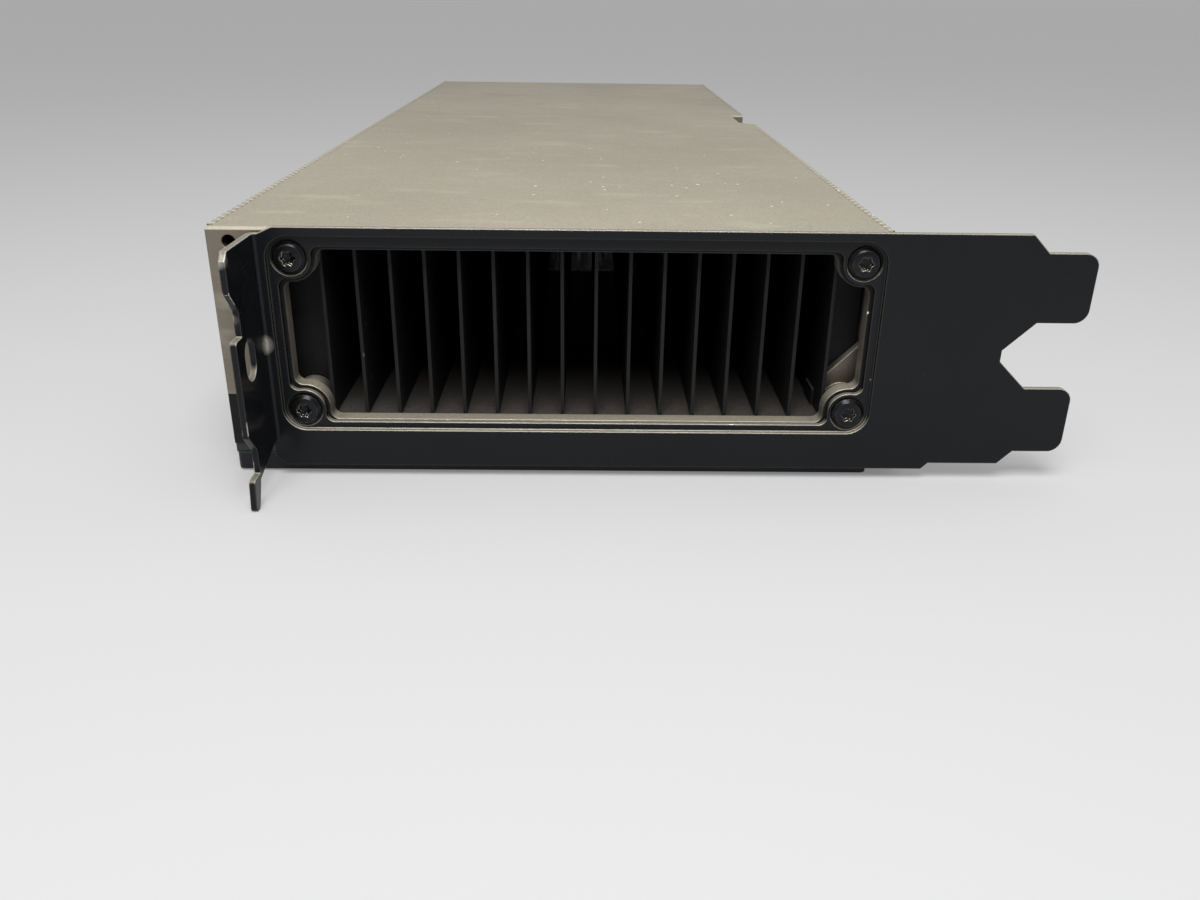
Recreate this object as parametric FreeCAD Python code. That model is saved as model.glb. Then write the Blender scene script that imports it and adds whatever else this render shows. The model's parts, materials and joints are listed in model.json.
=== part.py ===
"""Passive accelerator card: full height, full length, two slots wide, cooled by the server's own air.

Lengths are in millimetres.  Every piece is laid out from the bracket: x from the flange's outer
face towards the edge connector, y from the bracket's outward face towards the rear end, and z up
from the upper tongue's upper edge.  `save` then moves each piece into the card's own frame, whose
origin is the key notch of the edge connector: on the finger edge, half way through the board.
+X points out of the card into the socket, +Y to the rear end and +Z from the board to the shroud.
"""
import FreeCAD, Part
import math
import os

V = FreeCAD.Vector
X, Y, Z = V(1, 0, 0), V(0, 1, 0), V(0, 0, 1)

# ---- clearances
FIT = 0.05            # round a screw, a pin or a pad in its hole
SLIP = 0.2            # between neighbours that are slid together
OVER = 1.0            # how far a cutting tool passes its face
TOUCH = 0.01          # two places closer than this are the same place

# ---- bracket: folded sheet steel
SHEET = 0.86
BRACKET_LENGTH = 120.02
SLOT_PITCH = 20.32
TONGUE_WIDTH = 10.19
TONGUE_ROUND = 2.0
TONGUE_LENGTH = 7.3
BRACKET_RISE = 2.6
BRACKET_DROP = 33.6
FOOT_LENGTH = 20.5
FOOT_STEP = 1.0
SHOULDER_CUT = 2.6
THROAT_DEPTH = 4.35
THROAT_FLAT = 1.7
CORNER_STEP = 0.95
CORNER_CUT = 2.15
HEEL_CUT = 1.5
HEEL_SETBACK = 0.35
BEND_RADIUS = 0.5

FLANGE_LENGTH = 12.0
FLANGE_DROP = 29.6
FLANGE_CORNER = 1.1
FLANGE_SLOPE_START = 1.9
NOTCH_DEPTH = 2.7
NOTCH_HEIGHT = 3.6
NOTCH_TOP = 6.8
LEAD_IN = 2.9
NOTCH_ROUND = 0.6
TAIL_DROP = 35.4
TAIL_LEAN = 0.6
TAIL_TIP = 0.7
TAIL_NECK = 0.9
FINGER_HOLE_WIDTH = 4.4
FINGER_HOLE_HEIGHT = 6.0
FINGER_HOLE_FROM_BEND = 7.0
FINGER_HOLE_DROP = 14.4

# ---- air window pressed into the bracket, with a screw pad in each corner
WINDOW_FROM_HEEL_SIDE = 9.65
WINDOW_FROM_CONNECTOR_SIDE = 2.35
WINDOW_HEIGHT = 26.5
WINDOW_BELOW_ROOF = 2.5
WINDOW_ROUND = 1.2
RECESS_DEPTH = 0.8
RECESS_MARGIN_X = 1.2
RECESS_ABOVE = 1.6
RECESS_BELOW = 1.05
RECESS_ROUND = 3.3
PRESSED_WALL = 0.6
PAD_INSET_X = 1.9
PAD_BELOW_TOP = 1.6
PAD_ABOVE_FLOOR = 1.95
PAD_RADIUS = 3.1
DIMPLE_RADIUS = 2.6
DIMPLE_DEPTH = 0.45

# ---- shroud: cast and anodised aluminium
CARD_LENGTH = 267.7
SHROUD_START = -6.2
SHROUD_WIDTH = 97.4
SHROUD_TOP = 2.2
SHROUD_ROOF = 1.6
SHROUD_WALL = 2.0
FRONT_WALL = 2.4
SKIRT_DROP = 22.8
REVEAL = 0.55
SILL = 0.15
BOSS_RADIUS = 2.9
BOSS_LENGTH = 6.3
RIB_THICKNESS = 1.6
RIB_RISE = 7.2
APRON = 2.3
EDGE_BREAK = 0.4
FRONT_HOLE_RADIUS = 1.0
FRONT_HOLE_INSET_X = 3.15
FRONT_HOLE_INSET_Z = 2.1
RELIEF_START = 136.0
RELIEF_LENGTH = 22.0
RELIEF_DEPTH = 3.2
RELIEF_LEAD = 4.2

# ---- board and edge connector
BOARD_THICKNESS = 1.57
BOARD_BELOW_TONGUE = 0.35
BOARD_LEDGE = 5.5
BOARD_SETBACK = 0.4
KEY_FROM_BRACKET = 59.05
KEY_WIDTH = 1.9
KEY_DEPTH = 7.0
TAB_HEIGHT = 8.25
TAB_BEFORE_KEY = 12.15
TAB_AFTER_KEY = 72.15
TAB_BEVEL = 0.5
CONTACT_PITCH = 1.0
CONTACT_WIDTH = 0.7
CONTACT_LENGTH = 4.6
CONTACT_FOIL = 0.05
CONTACT_INSET = 0.6
CONTACTS_BEFORE_KEY = 11
CONTACTS_AFTER_KEY = 71
CONTACT_FROM_KEY = 1.5
HOOK_GAP = 2.9
HOOK_WIDTH = 7.0
HOOK_HEIGHT = 6.0
HOOK_TOE = 2.4

# ---- bridge tabs on the card's upper edge
BRIDGE_COUNT = 3
BRIDGE_PITCH = 42.0
BRIDGE_WIDTH = 28.0
BRIDGE_SLOT = 2.4
BRIDGE_REACH = 6.0
BRIDGE_SETBACK = 1.0
BRIDGE_CONTACT_COUNT = 6
BRIDGE_CONTACT_PITCH = 4.4
CAP_WALL = 1.0

# ---- midframe: black cast aluminium with its own coarse fins
FRAME_WALL = 2.2
DECK_THICKNESS = 1.6
DECK_DROP = 26.9
DECK_RAISE = 3.3
DECK_STEP_AT = 40.0
FRONT_FINS_END = 81.0
REAR_FINS_LENGTH = 44.0
REAR_FINS_FROM_END = 20.7
FIN_PITCH = 5.0
FIN_THICKNESS = 0.5
DUCT_FROM_HEEL_SIDE = 14.1
DUCT_FROM_CONNECTOR_SIDE = 6.5
DUCT_MARGIN = 0.9
POST_SIDE = 5.2
TIE_TAB_WIDTH = 9.0
TIE_TAB_HEIGHT = 5.0
TIE_TAB_THICKNESS = 1.8
BAFFLE = 1.6
EXTENDER_HOLE_RADIUS = 1.5
EXTENDER_HOLE_DEPTH = 6.0
EXTENDER_SPACING = 50.0
END_RAIL = 7.0

# ---- main heatsink: vapour chamber and a stack of folded fins
CHAMBER_MARGIN = 1.0
PLATE_FIN_PITCH = 2.5
PLATE_FIN_THICKNESS = 0.3
PLATE_FIN_FOOT = 1.6
FIN_HEADROOM = 0.4

# ---- processor package
PACKAGE_SIDE = 55.0
SUBSTRATE_THICKNESS = 2.0
DIE_WIDTH = 26.0
DIE_LENGTH = 32.0
DIE_THICKNESS = 0.8
MEMORY_WIDTH = 8.0
MEMORY_GAP = 0.8
MEMORY_PER_SIDE = 3
STIFFENER_WIDTH = 4.0
STIFFENER_THICKNESS = 0.7
PASTE_THICKNESS = 0.1
PEDESTAL_MARGIN = 2.0
RETENTION_SPACING = 68.0

# ---- power parts
STAGE_COUNT = 8
STAGE_PITCH = 9.2
STAGE_WIDTH = 5.0
STAGE_LENGTH = 6.0
STAGE_HEIGHT = 1.0
CHOKE_SIDE = 7.4
CHOKE_HEIGHT = 4.0
CAPACITOR_WIDTH = 7.3
CAPACITOR_LENGTH = 4.3
CAPACITOR_HEIGHT = 2.8
PAD_THICKNESS = 0.8
PAD_INSET = 0.25
STAGE_ROW = 8.0
CHOKE_ROW = 17.5
CAPACITOR_ROW = 27.0
CHIP_ROW_FROM_FRONT = 22.0
CHIP_ROW_FROM_END = 25.7
CHIP_SIDES = (9.0, 12.0, 7.0)
CHIP_PITCH = 20.0

# ---- power inlet: eight-way housing at the rear end
INLET_FROM_SIDE = 9.2
INLET_WIDTH = 18.0
INLET_LENGTH = 15.5
INLET_HEIGHT = 9.8
INLET_PITCH = 4.2
INLET_COLUMNS = 4     # counts of sockets
INLET_ROWS = 2
SOCKET_SIDE = 3.5
SOCKET_DEPTH = 12.0
BLADE = 1.1
BLADE_LENGTH = 10.0

# ---- backplate
BACKPLATE_HEIGHT = 2.67
BACKPLATE_SKIN = 1.3
BACKPLATE_RIM = 1.4
BACKPLATE_ROUND = 1.0

# ---- fasteners: small, so their round parts are drawn with a few flats
FLAT_COUNT = 12
PAN_HEAD_RADIUS = 2.35
PAN_HEAD_HEIGHT = 1.15
PAN_SHANK_RADIUS = 1.5
PAN_LENGTH = 5.5
FLAT_HEAD_RADIUS = 2.1
FLAT_SHANK_RADIUS = 1.1
FLAT_HEAD_HEIGHT = 1.0
SIDE_HEAD_RADIUS = 1.8
SIDE_HEAD_HEIGHT = 0.8
SIDE_SHANK_RADIUS = 0.9
SIDE_SCREW_FROM_FRONT = 24.0
SIDE_SCREW_FROM_END = 29.7
BACK_SCREW_FROM_FRONT = 12.0
BACK_SCREW_FROM_END = 9.7
BACK_SCREW_INSET = 5.4
SPRING_SCREW_RADIUS = 1.25
SPRING_HEAD_RADIUS = 2.9
SPRING_HEAD_HEIGHT = 0.8
SPRING_RADIUS = 2.4

# ---- places worked out from the sizes above
BOARD_TOP = -(SLOT_PITCH + TONGUE_WIDTH + BOARD_BELOW_TONGUE)
BOARD_BOTTOM = BOARD_TOP - BOARD_THICKNESS
FRONT = SHEET + RECESS_DEPTH
REAR = CARD_LENGTH
SHROUD_END = SHROUD_START + SHROUD_WIDTH
BOARD_FRONT = FRONT + BOARD_SETBACK
BOARD_REAR = REAR - BOARD_SETBACK
SHOULDER_EDGE = SHROUD_END + BOARD_LEDGE
FINGER_EDGE = SHOULDER_EDGE + TAB_HEIGHT
WINDOW_START = SHROUD_START + WINDOW_FROM_HEEL_SIDE
WINDOW_END = SHROUD_END - WINDOW_FROM_CONNECTOR_SIDE
WINDOW_TOP = SHROUD_TOP - WINDOW_BELOW_ROOF
WINDOW_FLOOR = WINDOW_TOP - WINDOW_HEIGHT
LEDGE = WINDOW_FLOOR - APRON
APRON_START = WINDOW_START - PAD_RADIUS
DECK_TOP = -DECK_DROP
HIGH_DECK_TOP = DECK_TOP + DECK_RAISE
HIGH_DECK_FLOOR = HIGH_DECK_TOP - DECK_THICKNESS
FIN_TOP = SHROUD_TOP - SHROUD_ROOF - FIN_HEADROOM
DUCT_START = SHROUD_START + DUCT_FROM_HEEL_SIDE
DUCT_END = SHROUD_END - DUCT_FROM_CONNECTOR_SIDE
DUCT_MIDDLE = (DUCT_START + DUCT_END) / 2
FINS_FRONT = FRONT + FRONT_WALL + SLIP
REAR_FINS_END = REAR - REAR_FINS_FROM_END
REAR_FINS_START = REAR_FINS_END - REAR_FINS_LENGTH
CHAMBER_FRONT = FRONT_FINS_END + CHAMBER_MARGIN
CHAMBER_REAR = REAR_FINS_START - CHAMBER_MARGIN
PROCESSOR_X = DUCT_MIDDLE
PROCESSOR_Y = (CHAMBER_FRONT + CHAMBER_REAR) / 2
INLET_START = SHROUD_START + INLET_FROM_SIDE
DIE_TOP = BOARD_TOP + SUBSTRATE_THICKNESS + DIE_THICKNESS
CHAMBER_FLOOR = HIGH_DECK_TOP - DECK_RAISE
BACKPLATE_FLOOR = BOARD_BOTTOM - BACKPLATE_HEIGHT
ORIGIN = V(FINGER_EDGE, KEY_FROM_BRACKET, BOARD_TOP - BOARD_THICKNESS / 2)


# ---- helpers
def block(x0, x1, y0, y1, z0, z1):
    """A straight block between two opposite corners."""
    return Part.makeBox(x1 - x0, y1 - y0, z1 - z0, V(x0, y0, z0))


def rod(radius, length, start, axis):
    """A cylinder that starts at a point and runs along an axis."""
    return Part.makeCylinder(radius, length, start, axis)


def prism(points, run):
    """The closed outline through the points, drawn out along a vector."""
    return Part.Face(Part.makePolygon(points + points[:1])).extrude(run)


def stud(radius, length, start, axis):
    """A small fastener's round part or its hole, drawn with a few flats."""
    side = X if abs(axis.dot(Y)) > TOUCH else Y
    other = axis.cross(side)
    turns = [math.tau * i / FLAT_COUNT for i in range(FLAT_COUNT)]
    return prism([start + (side * math.cos(a) + other * math.sin(a)) * radius for a in turns], axis * length)


def edges_along(shape, axis, keep=lambda middle: True):
    """The straight edges parallel to an axis whose middle point passes a test."""
    found = []
    for edge in shape.Edges:
        ends = edge.Vertexes
        straight = len(ends) == 2 and isinstance(edge.Curve, Part.Line)
        if straight and abs((ends[1].Point - ends[0].Point).normalize().dot(axis)) > 1 - TOUCH:
            if keep((ends[0].Point + ends[1].Point) / 2):
                found.append(edge)
    return found


def rounded_block(radius, x0, x1, y0, y1, z0, z1, axis=Z):
    """A block whose four edges along one axis are rounded."""
    solid = block(x0, x1, y0, y1, z0, z1)
    return solid.makeFillet(radius, edges_along(solid, axis))


def join(shapes):
    """One solid from shapes that meet."""
    return shapes[0].multiFuse(shapes[1:]).removeSplitter() if len(shapes) > 1 else shapes[0]


def group(solids):
    """Separate solids kept as one set."""
    return Part.makeCompound(solids)


def save(name, shape):
    """Move a piece into the card's frame and write it."""
    placed = shape.copy()
    placed.translate(ORIGIN * -1)
    placed.exportStep("parts/" + name + ".step")
    print(name, len(placed.Solids), "solid(s)", round(placed.Volume, 1), "mm3", placed.isValid())


def pad_spots():
    """The four screw centres round the window, as (x, z)."""
    columns = (WINDOW_START + PAD_INSET_X, WINDOW_END - PAD_INSET_X)
    rows = (WINDOW_TOP - PAD_BELOW_TOP, WINDOW_FLOOR + PAD_ABOVE_FLOOR)
    return [(x, z) for z in rows for x in columns]


def back_screw_spots():
    """Centres of the screws that clamp backplate, board and midframe, as (x, y)."""
    columns = (SHROUD_START + BACK_SCREW_INSET, SHROUD_END - BACK_SCREW_INSET)
    before_bridges = bridge_spots()[0] - BRIDGE_WIDTH / 2 - BRIDGE_SLOT - POST_SIDE
    rows = (BACK_SCREW_FROM_FRONT, before_bridges, REAR - BACK_SCREW_FROM_END)
    return [(x, y) for y in rows for x in columns]


def retention_spots():
    """Centres of the four sprung screws round the processor, as (x, y)."""
    half = RETENTION_SPACING / 2
    return [(PROCESSOR_X + i * half, PROCESSOR_Y + j * half) for i in (-1, 1) for j in (-1, 1)]


def extender_spots():
    """Centres of the two threaded holes in the rear rail, as x."""
    middle = (INLET_START + INLET_WIDTH + SHROUD_END) / 2
    return [middle - EXTENDER_SPACING / 2, middle + EXTENDER_SPACING / 2]


def spread(count, pitch, middle):
    """Evenly spaced places about a middle."""
    return [middle + (i - (count - 1) / 2) * pitch for i in range(count)]


def fin_spots(pitch):
    """x of as many fins as the duct holds at a pitch, centred in the duct."""
    room = DUCT_END - DUCT_START - 2 * DUCT_MARGIN
    return spread(int(room / pitch + TOUCH) + 1, pitch, DUCT_MIDDLE)


def bridge_spots():
    """y of the bridge tabs, centred on the processor."""
    return spread(BRIDGE_COUNT, BRIDGE_PITCH, PROCESSOR_Y)


def power_rows():
    """y of the stages, chokes and capacitors before and behind the processor."""
    front = [DECK_STEP_AT + row for row in (STAGE_ROW, CHOKE_ROW, CAPACITOR_ROW)]
    rear = [REAR_FINS_START + row for row in (CHOKE_ROW, STAGE_ROW, CAPACITOR_ROW)]
    return [front, rear]


# ---- bracket
def plate_outline():
    """The flat of the bracket, round from the flange's upper corner, as (x, z)."""
    tip = BRACKET_LENGTH
    shoulder = BRACKET_LENGTH - TONGUE_LENGTH
    flange_top = BRACKET_RISE - CORNER_STEP
    bottom = -BRACKET_DROP
    foot = bottom + FOOT_STEP
    foot_x = BRACKET_LENGTH - FOOT_LENGTH
    throat = -(TONGUE_WIDTH + SLOT_PITCH) / 2
    last = -SLOT_PITCH - TONGUE_WIDTH
    return [
        (0, flange_top), (HEEL_CUT, flange_top), (HEEL_CUT + CORNER_CUT, BRACKET_RISE),
        (shoulder - SHOULDER_CUT, BRACKET_RISE), (shoulder, 0), (tip, 0), (tip, -TONGUE_WIDTH),
        (shoulder, -TONGUE_WIDTH), (shoulder - THROAT_DEPTH, throat + THROAT_FLAT / 2),
        (shoulder - THROAT_DEPTH, throat - THROAT_FLAT / 2), (shoulder, -SLOT_PITCH),
        (tip, -SLOT_PITCH), (tip, last), (shoulder, last),
        (shoulder - SHOULDER_CUT + FOOT_STEP / 2, foot), (foot_x + FOOT_STEP / 2, foot),
        (foot_x - FOOT_STEP / 2, bottom), (SHEET + FOOT_STEP, bottom), (HEEL_SETBACK, bottom + HEEL_CUT),
        (HEEL_SETBACK, -FLANGE_DROP), (0, -FLANGE_DROP),
    ]


def flange_outline():
    """The bent flange, round from the bend's upper end, as (y, z); y falls away from the card."""
    end = -FLANGE_LENGTH
    inner = end + NOTCH_DEPTH
    top = BRACKET_RISE - CORNER_STEP
    points = [(SHEET, top), (end + FLANGE_CORNER, top), (end, top - FLANGE_CORNER)]
    for row in range(2):
        drop = -NOTCH_TOP - row * SLOT_PITCH
        points += [(end, drop + LEAD_IN), (inner, drop), (inner, drop - NOTCH_HEIGHT),
                   (end, drop - NOTCH_HEIGHT)]
    tail = -TAIL_DROP
    neck = -NOTCH_TOP - SLOT_PITCH - NOTCH_HEIGHT - TAIL_NECK
    points += [(end - TAIL_LEAN, tail + TAIL_LEAN), (end - TAIL_LEAN / 2, tail), (end + TAIL_TIP, tail),
               (end + NOTCH_DEPTH / 2, tail + TAIL_NECK), (inner, neck),
               (-FLANGE_SLOPE_START, -FLANGE_DROP), (SHEET, -FLANGE_DROP)]
    return points


def window_tool(reveal, sill, y0, y1):
    """The window as a solid: a rectangle bitten by the four pads, its corners rounded."""
    tool = block(WINDOW_START + reveal, WINDOW_END - reveal, y0, y1, WINDOW_FLOOR + sill, WINDOW_TOP - reveal)
    for x, z in pad_spots():
        tool = tool.cut(rod(PAD_RADIUS + reveal, y1 - y0 + 2 * OVER, V(x, y0 - OVER, z), Y))
    return tool.makeFillet(WINDOW_ROUND, edges_along(tool, Y))


def recess_tool(grow, y0, y1):
    """The shallow pressed field round the window."""
    return rounded_block(RECESS_ROUND + grow, WINDOW_START - RECESS_MARGIN_X - grow,
                         WINDOW_END + RECESS_MARGIN_X + grow, y0, y1,
                         WINDOW_FLOOR - RECESS_BELOW - grow, WINDOW_TOP + RECESS_ABOVE + grow, axis=Y)


def make_bracket():
    """Flat plate and bent flange in one sheet, with the window pressed in and cut out."""
    plate = prism([V(x, 0, z) for x, z in plate_outline()], V(0, SHEET, 0))
    tips = edges_along(plate, Y, lambda m: m.x > BRACKET_LENGTH - TOUCH)
    plate = plate.makeFillet(TONGUE_ROUND, tips)
    flange = prism([V(0, y, z) for y, z in flange_outline()], V(SHEET, 0, 0))
    rounds = edges_along(flange, X, lambda m: m.y < -FLANGE_LENGTH + TOUCH and m.z < -NOTCH_TOP)
    flange = flange.makeFillet(NOTCH_ROUND, rounds)
    slope = FINGER_HOLE_HEIGHT - FINGER_HOLE_WIDTH
    hole = [rod(FINGER_HOLE_WIDTH / 2, SHEET + 2 * OVER,
                V(-OVER, -FINGER_HOLE_FROM_BEND, -FINGER_HOLE_DROP + side * slope / 2), X)
            for side in (-1, 1)]
    half = FINGER_HOLE_WIDTH / 2
    hole.append(block(-OVER, SHEET + OVER, -FINGER_HOLE_FROM_BEND - half, -FINGER_HOLE_FROM_BEND + half,
                      -FINGER_HOLE_DROP - slope / 2, -FINGER_HOLE_DROP + slope / 2))
    flange = flange.cut(join(hole))
    body = join([plate, flange])
    inside = edges_along(body, Z, lambda m: abs(m.x - SHEET) < TOUCH and abs(m.y) < TOUCH)
    body = body.makeFillet(BEND_RADIUS, inside)
    outside = edges_along(body, Z, lambda m: abs(m.x) < TOUCH and abs(m.y - SHEET) < TOUCH)
    body = body.makeFillet(BEND_RADIUS + SHEET, outside)
    body = join([body, recess_tool(PRESSED_WALL, SHEET / 2, FRONT)])
    body = body.cut(recess_tool(0, -OVER, RECESS_DEPTH))
    for x, z in pad_spots():
        body = body.cut(rod(DIMPLE_RADIUS, DIMPLE_DEPTH + OVER, V(x, RECESS_DEPTH - OVER, z), Y))
        body = body.cut(stud(PAN_SHANK_RADIUS + SLIP, FRONT + OVER, V(x, 0, z), Y))
    return body.cut(window_tool(0, 0, -OVER, FRONT + OVER))


# ---- screws
def pan_screw(seat, axis, length):
    """Round-topped screw: the head stands on its seat and the shank runs along the axis."""
    crown = seat - axis * PAN_HEAD_HEIGHT
    head = stud(PAN_HEAD_RADIUS, PAN_HEAD_HEIGHT, crown, axis)
    rim = [e for e in head.Edges if abs((e.CenterOfMass - crown).dot(axis)) < TOUCH]
    head = head.makeChamfer(PAN_HEAD_HEIGHT / 3, rim)
    return join([head, stud(PAN_SHANK_RADIUS, length, seat, axis)])


def sunk_screw(face, axis, head_radius, head_height, shank_radius, length, gap=0):
    """Screw whose head ends flush with a face, or with a gap the hole that it sits in."""
    head = stud(head_radius + gap, head_height, face, axis)
    return join([head, stud(shank_radius + gap, length + gap, face, axis)])


def make_bracket_screws():
    """Four screws through the window pads into the shroud's bosses."""
    seat = RECESS_DEPTH + DIMPLE_DEPTH
    return group([pan_screw(V(x, seat, z), Y, PAN_LENGTH) for x, z in pad_spots()])


# ---- shroud
def relief_outline(inset):
    """The shroud's plan with the latch relief in its connector side, shrunk by an inset."""
    left = SHROUD_START + inset
    right = SHROUD_END - inset
    inner = right - RELIEF_DEPTH
    end = RELIEF_START + RELIEF_LENGTH + inset
    start = RELIEF_START - inset
    front = FRONT + (FRONT_WALL if inset else 0)
    rear = REAR + (OVER if inset else 0)
    return [(left, front), (right, front), (right, start), (inner, start + RELIEF_LEAD),
            (inner, end), (right, end), (right, rear), (left, rear)]


def side_screw_spots():
    """Face point and inward axis of each shroud screw."""
    level = -SKIRT_DROP + TIE_TAB_HEIGHT / 2
    spots = []
    for y in (SIDE_SCREW_FROM_FRONT, REAR - SIDE_SCREW_FROM_END):
        spots.append((V(SHROUD_START, y, level), X))
        spots.append((V(SHROUD_END, y, level), X * -1))
    return spots


def side_screw_length():
    """From the shroud's side face to the far side of the midframe's tab."""
    return SHROUD_WALL + SLIP + TIE_TAB_THICKNESS - FIT


def boss_rib():
    """The sloped rib that braces the lower screw boss against the connector side."""
    x, z = pad_spots()[-1]
    wall = SHROUD_END - SHROUD_WALL / 2
    left = x - BOSS_RADIUS + SLIP
    end = FRONT + BOSS_LENGTH
    skirt = -SKIRT_DROP
    crest = z + BOSS_RADIUS + RIB_RISE
    low = crest - (wall - left)
    outline = [(left, z), (x, z), (x, skirt), (wall, skirt), (wall, crest), (left, low)]
    return prism([V(px, end - RIB_THICKNESS, pz) for px, pz in outline], V(0, RIB_THICKNESS, 0))


def make_shroud():
    """Roof, two sides and the windowed front wall, cast in one."""
    skirt = -SKIRT_DROP
    outer = prism([V(x, y, skirt) for x, y in relief_outline(0)], V(0, 0, SHROUD_TOP - skirt))
    rim = [e for e in outer.Edges if abs(e.BoundBox.ZMin - SHROUD_TOP) < TOUCH]
    outer = outer.makeChamfer(EDGE_BREAK, rim)
    hollow = prism([V(x, y, skirt - OVER) for x, y in relief_outline(SHROUD_WALL)],
                   V(0, 0, SHROUD_TOP - SHROUD_ROOF - skirt + OVER))
    shell = outer.cut(hollow)
    apron = block(APRON_START, SHROUD_END, FRONT, FRONT + FRONT_WALL, LEDGE, skirt + OVER)
    pieces = [shell, apron]
    for x, z in pad_spots():
        pieces.append(rod(BOSS_RADIUS, BOSS_LENGTH, V(x, FRONT, z), Y))
    pieces.append(boss_rib())
    body = join(pieces).cut(window_tool(REVEAL, SILL, FRONT - OVER, FRONT + FRONT_WALL + OVER))
    for x, z in pad_spots():
        body = body.cut(stud(PAN_SHANK_RADIUS + FIT, PAN_LENGTH, V(x, FRONT, z), Y))
    body = body.cut(rod(FRONT_HOLE_RADIUS, FRONT_WALL + 2 * OVER,
                        V(SHROUD_START + FRONT_HOLE_INSET_X, FRONT - OVER,
                          SHROUD_TOP - FRONT_HOLE_INSET_Z), Y))
    for face, axis in side_screw_spots():
        body = body.cut(sunk_screw(face, axis, SIDE_HEAD_RADIUS, SIDE_HEAD_HEIGHT, SIDE_SHANK_RADIUS,
                                   SHROUD_WALL + OVER, FIT))
    return body


def make_shroud_screws():
    """Small sunk screws in the shroud's sides."""
    return group([sunk_screw(face, axis, SIDE_HEAD_RADIUS, SIDE_HEAD_HEIGHT, SIDE_SHANK_RADIUS,
                             side_screw_length()) for face, axis in side_screw_spots()])


# ---- midframe
def row_box(y, length, z0, z1, inset):
    """A bar that covers one row of power parts."""
    spots = spread(STAGE_COUNT, STAGE_PITCH, DUCT_MIDDLE)
    reach = CHOKE_SIDE / 2 - inset
    half = length / 2 - inset
    return block(spots[0] - reach, spots[-1] + reach, y - half, y + half, z0, z1)


def post(x, y, height):
    """A square post on the board."""
    half = POST_SIDE / 2
    return block(x - half, x + half, y - half, y + half, BOARD_TOP, BOARD_TOP + height)


def bridge_gap(y, z0, z1):
    """The opening that a bridge tab and its cap need in a side wall."""
    half = BRIDGE_WIDTH / 2 + CAP_WALL + SLIP
    return block(SHROUD_START - OVER, SHROUD_START + BRIDGE_REACH + CAP_WALL + SLIP, y - half, y + half,
                 z0, z1)


def cap_top():
    """Height of a bridge cap's upper face."""
    return BOARD_TOP + CONTACT_FOIL + FIT + CAP_WALL


def frame_walls():
    """The rim that stands on the board's edge and closes the card below the shroud."""
    skirt = -SKIRT_DROP
    rim = block(SHROUD_START, SHROUD_END, FRONT, BOARD_REAR, BOARD_TOP, skirt)
    rim = rim.cut(block(SHROUD_START + FRAME_WALL, SHROUD_END - FRAME_WALL, FRONT + FRONT_WALL,
                        BOARD_REAR - END_RAIL, BOARD_TOP - OVER, skirt + OVER))
    rim = rim.cut(block(APRON_START - SLIP, SHROUD_END + OVER, FRONT - OVER, FINS_FRONT, LEDGE - SLIP,
                        skirt + OVER))
    relief = block(SHROUD_END - RELIEF_DEPTH, SHROUD_END + OVER, RELIEF_START + RELIEF_LEAD,
                   RELIEF_START + RELIEF_LENGTH, BOARD_TOP - OVER, skirt + OVER)
    backing = block(SHROUD_END - RELIEF_DEPTH - FRAME_WALL, SHROUD_END, RELIEF_START,
                    RELIEF_START + RELIEF_LENGTH + FRAME_WALL, BOARD_TOP, skirt)
    return rim.fuse(backing).cut(relief)


def deck(y0, y1, top):
    """A stretch of floor between the side walls."""
    return block(SHROUD_START + FRAME_WALL / 2, SHROUD_END - FRAME_WALL / 2, y0, y1,
                 top - DECK_THICKNESS, top)


def coarse_fins(y0, y1, floor):
    """The cast fins over one stretch of floor."""
    half = FIN_THICKNESS / 2
    return [block(x - half, x + half, y0, y1, floor - DECK_THICKNESS / 2, FIN_TOP)
            for x in fin_spots(FIN_PITCH)]


def baffles():
    """The walls that close the air path between the shroud's sides and the outer fins."""
    start = FRONT + BOSS_LENGTH + SLIP
    gap = SHROUD_WALL + SLIP
    spots = fin_spots(FIN_PITCH)
    low = DECK_TOP - DECK_THICKNESS / 2
    return [block(SHROUD_START + gap, spots[0], start, start + BAFFLE, low, FIN_TOP),
            block(spots[-1], SHROUD_END - gap, start, start + BAFFLE, low, FIN_TOP)]


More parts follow.
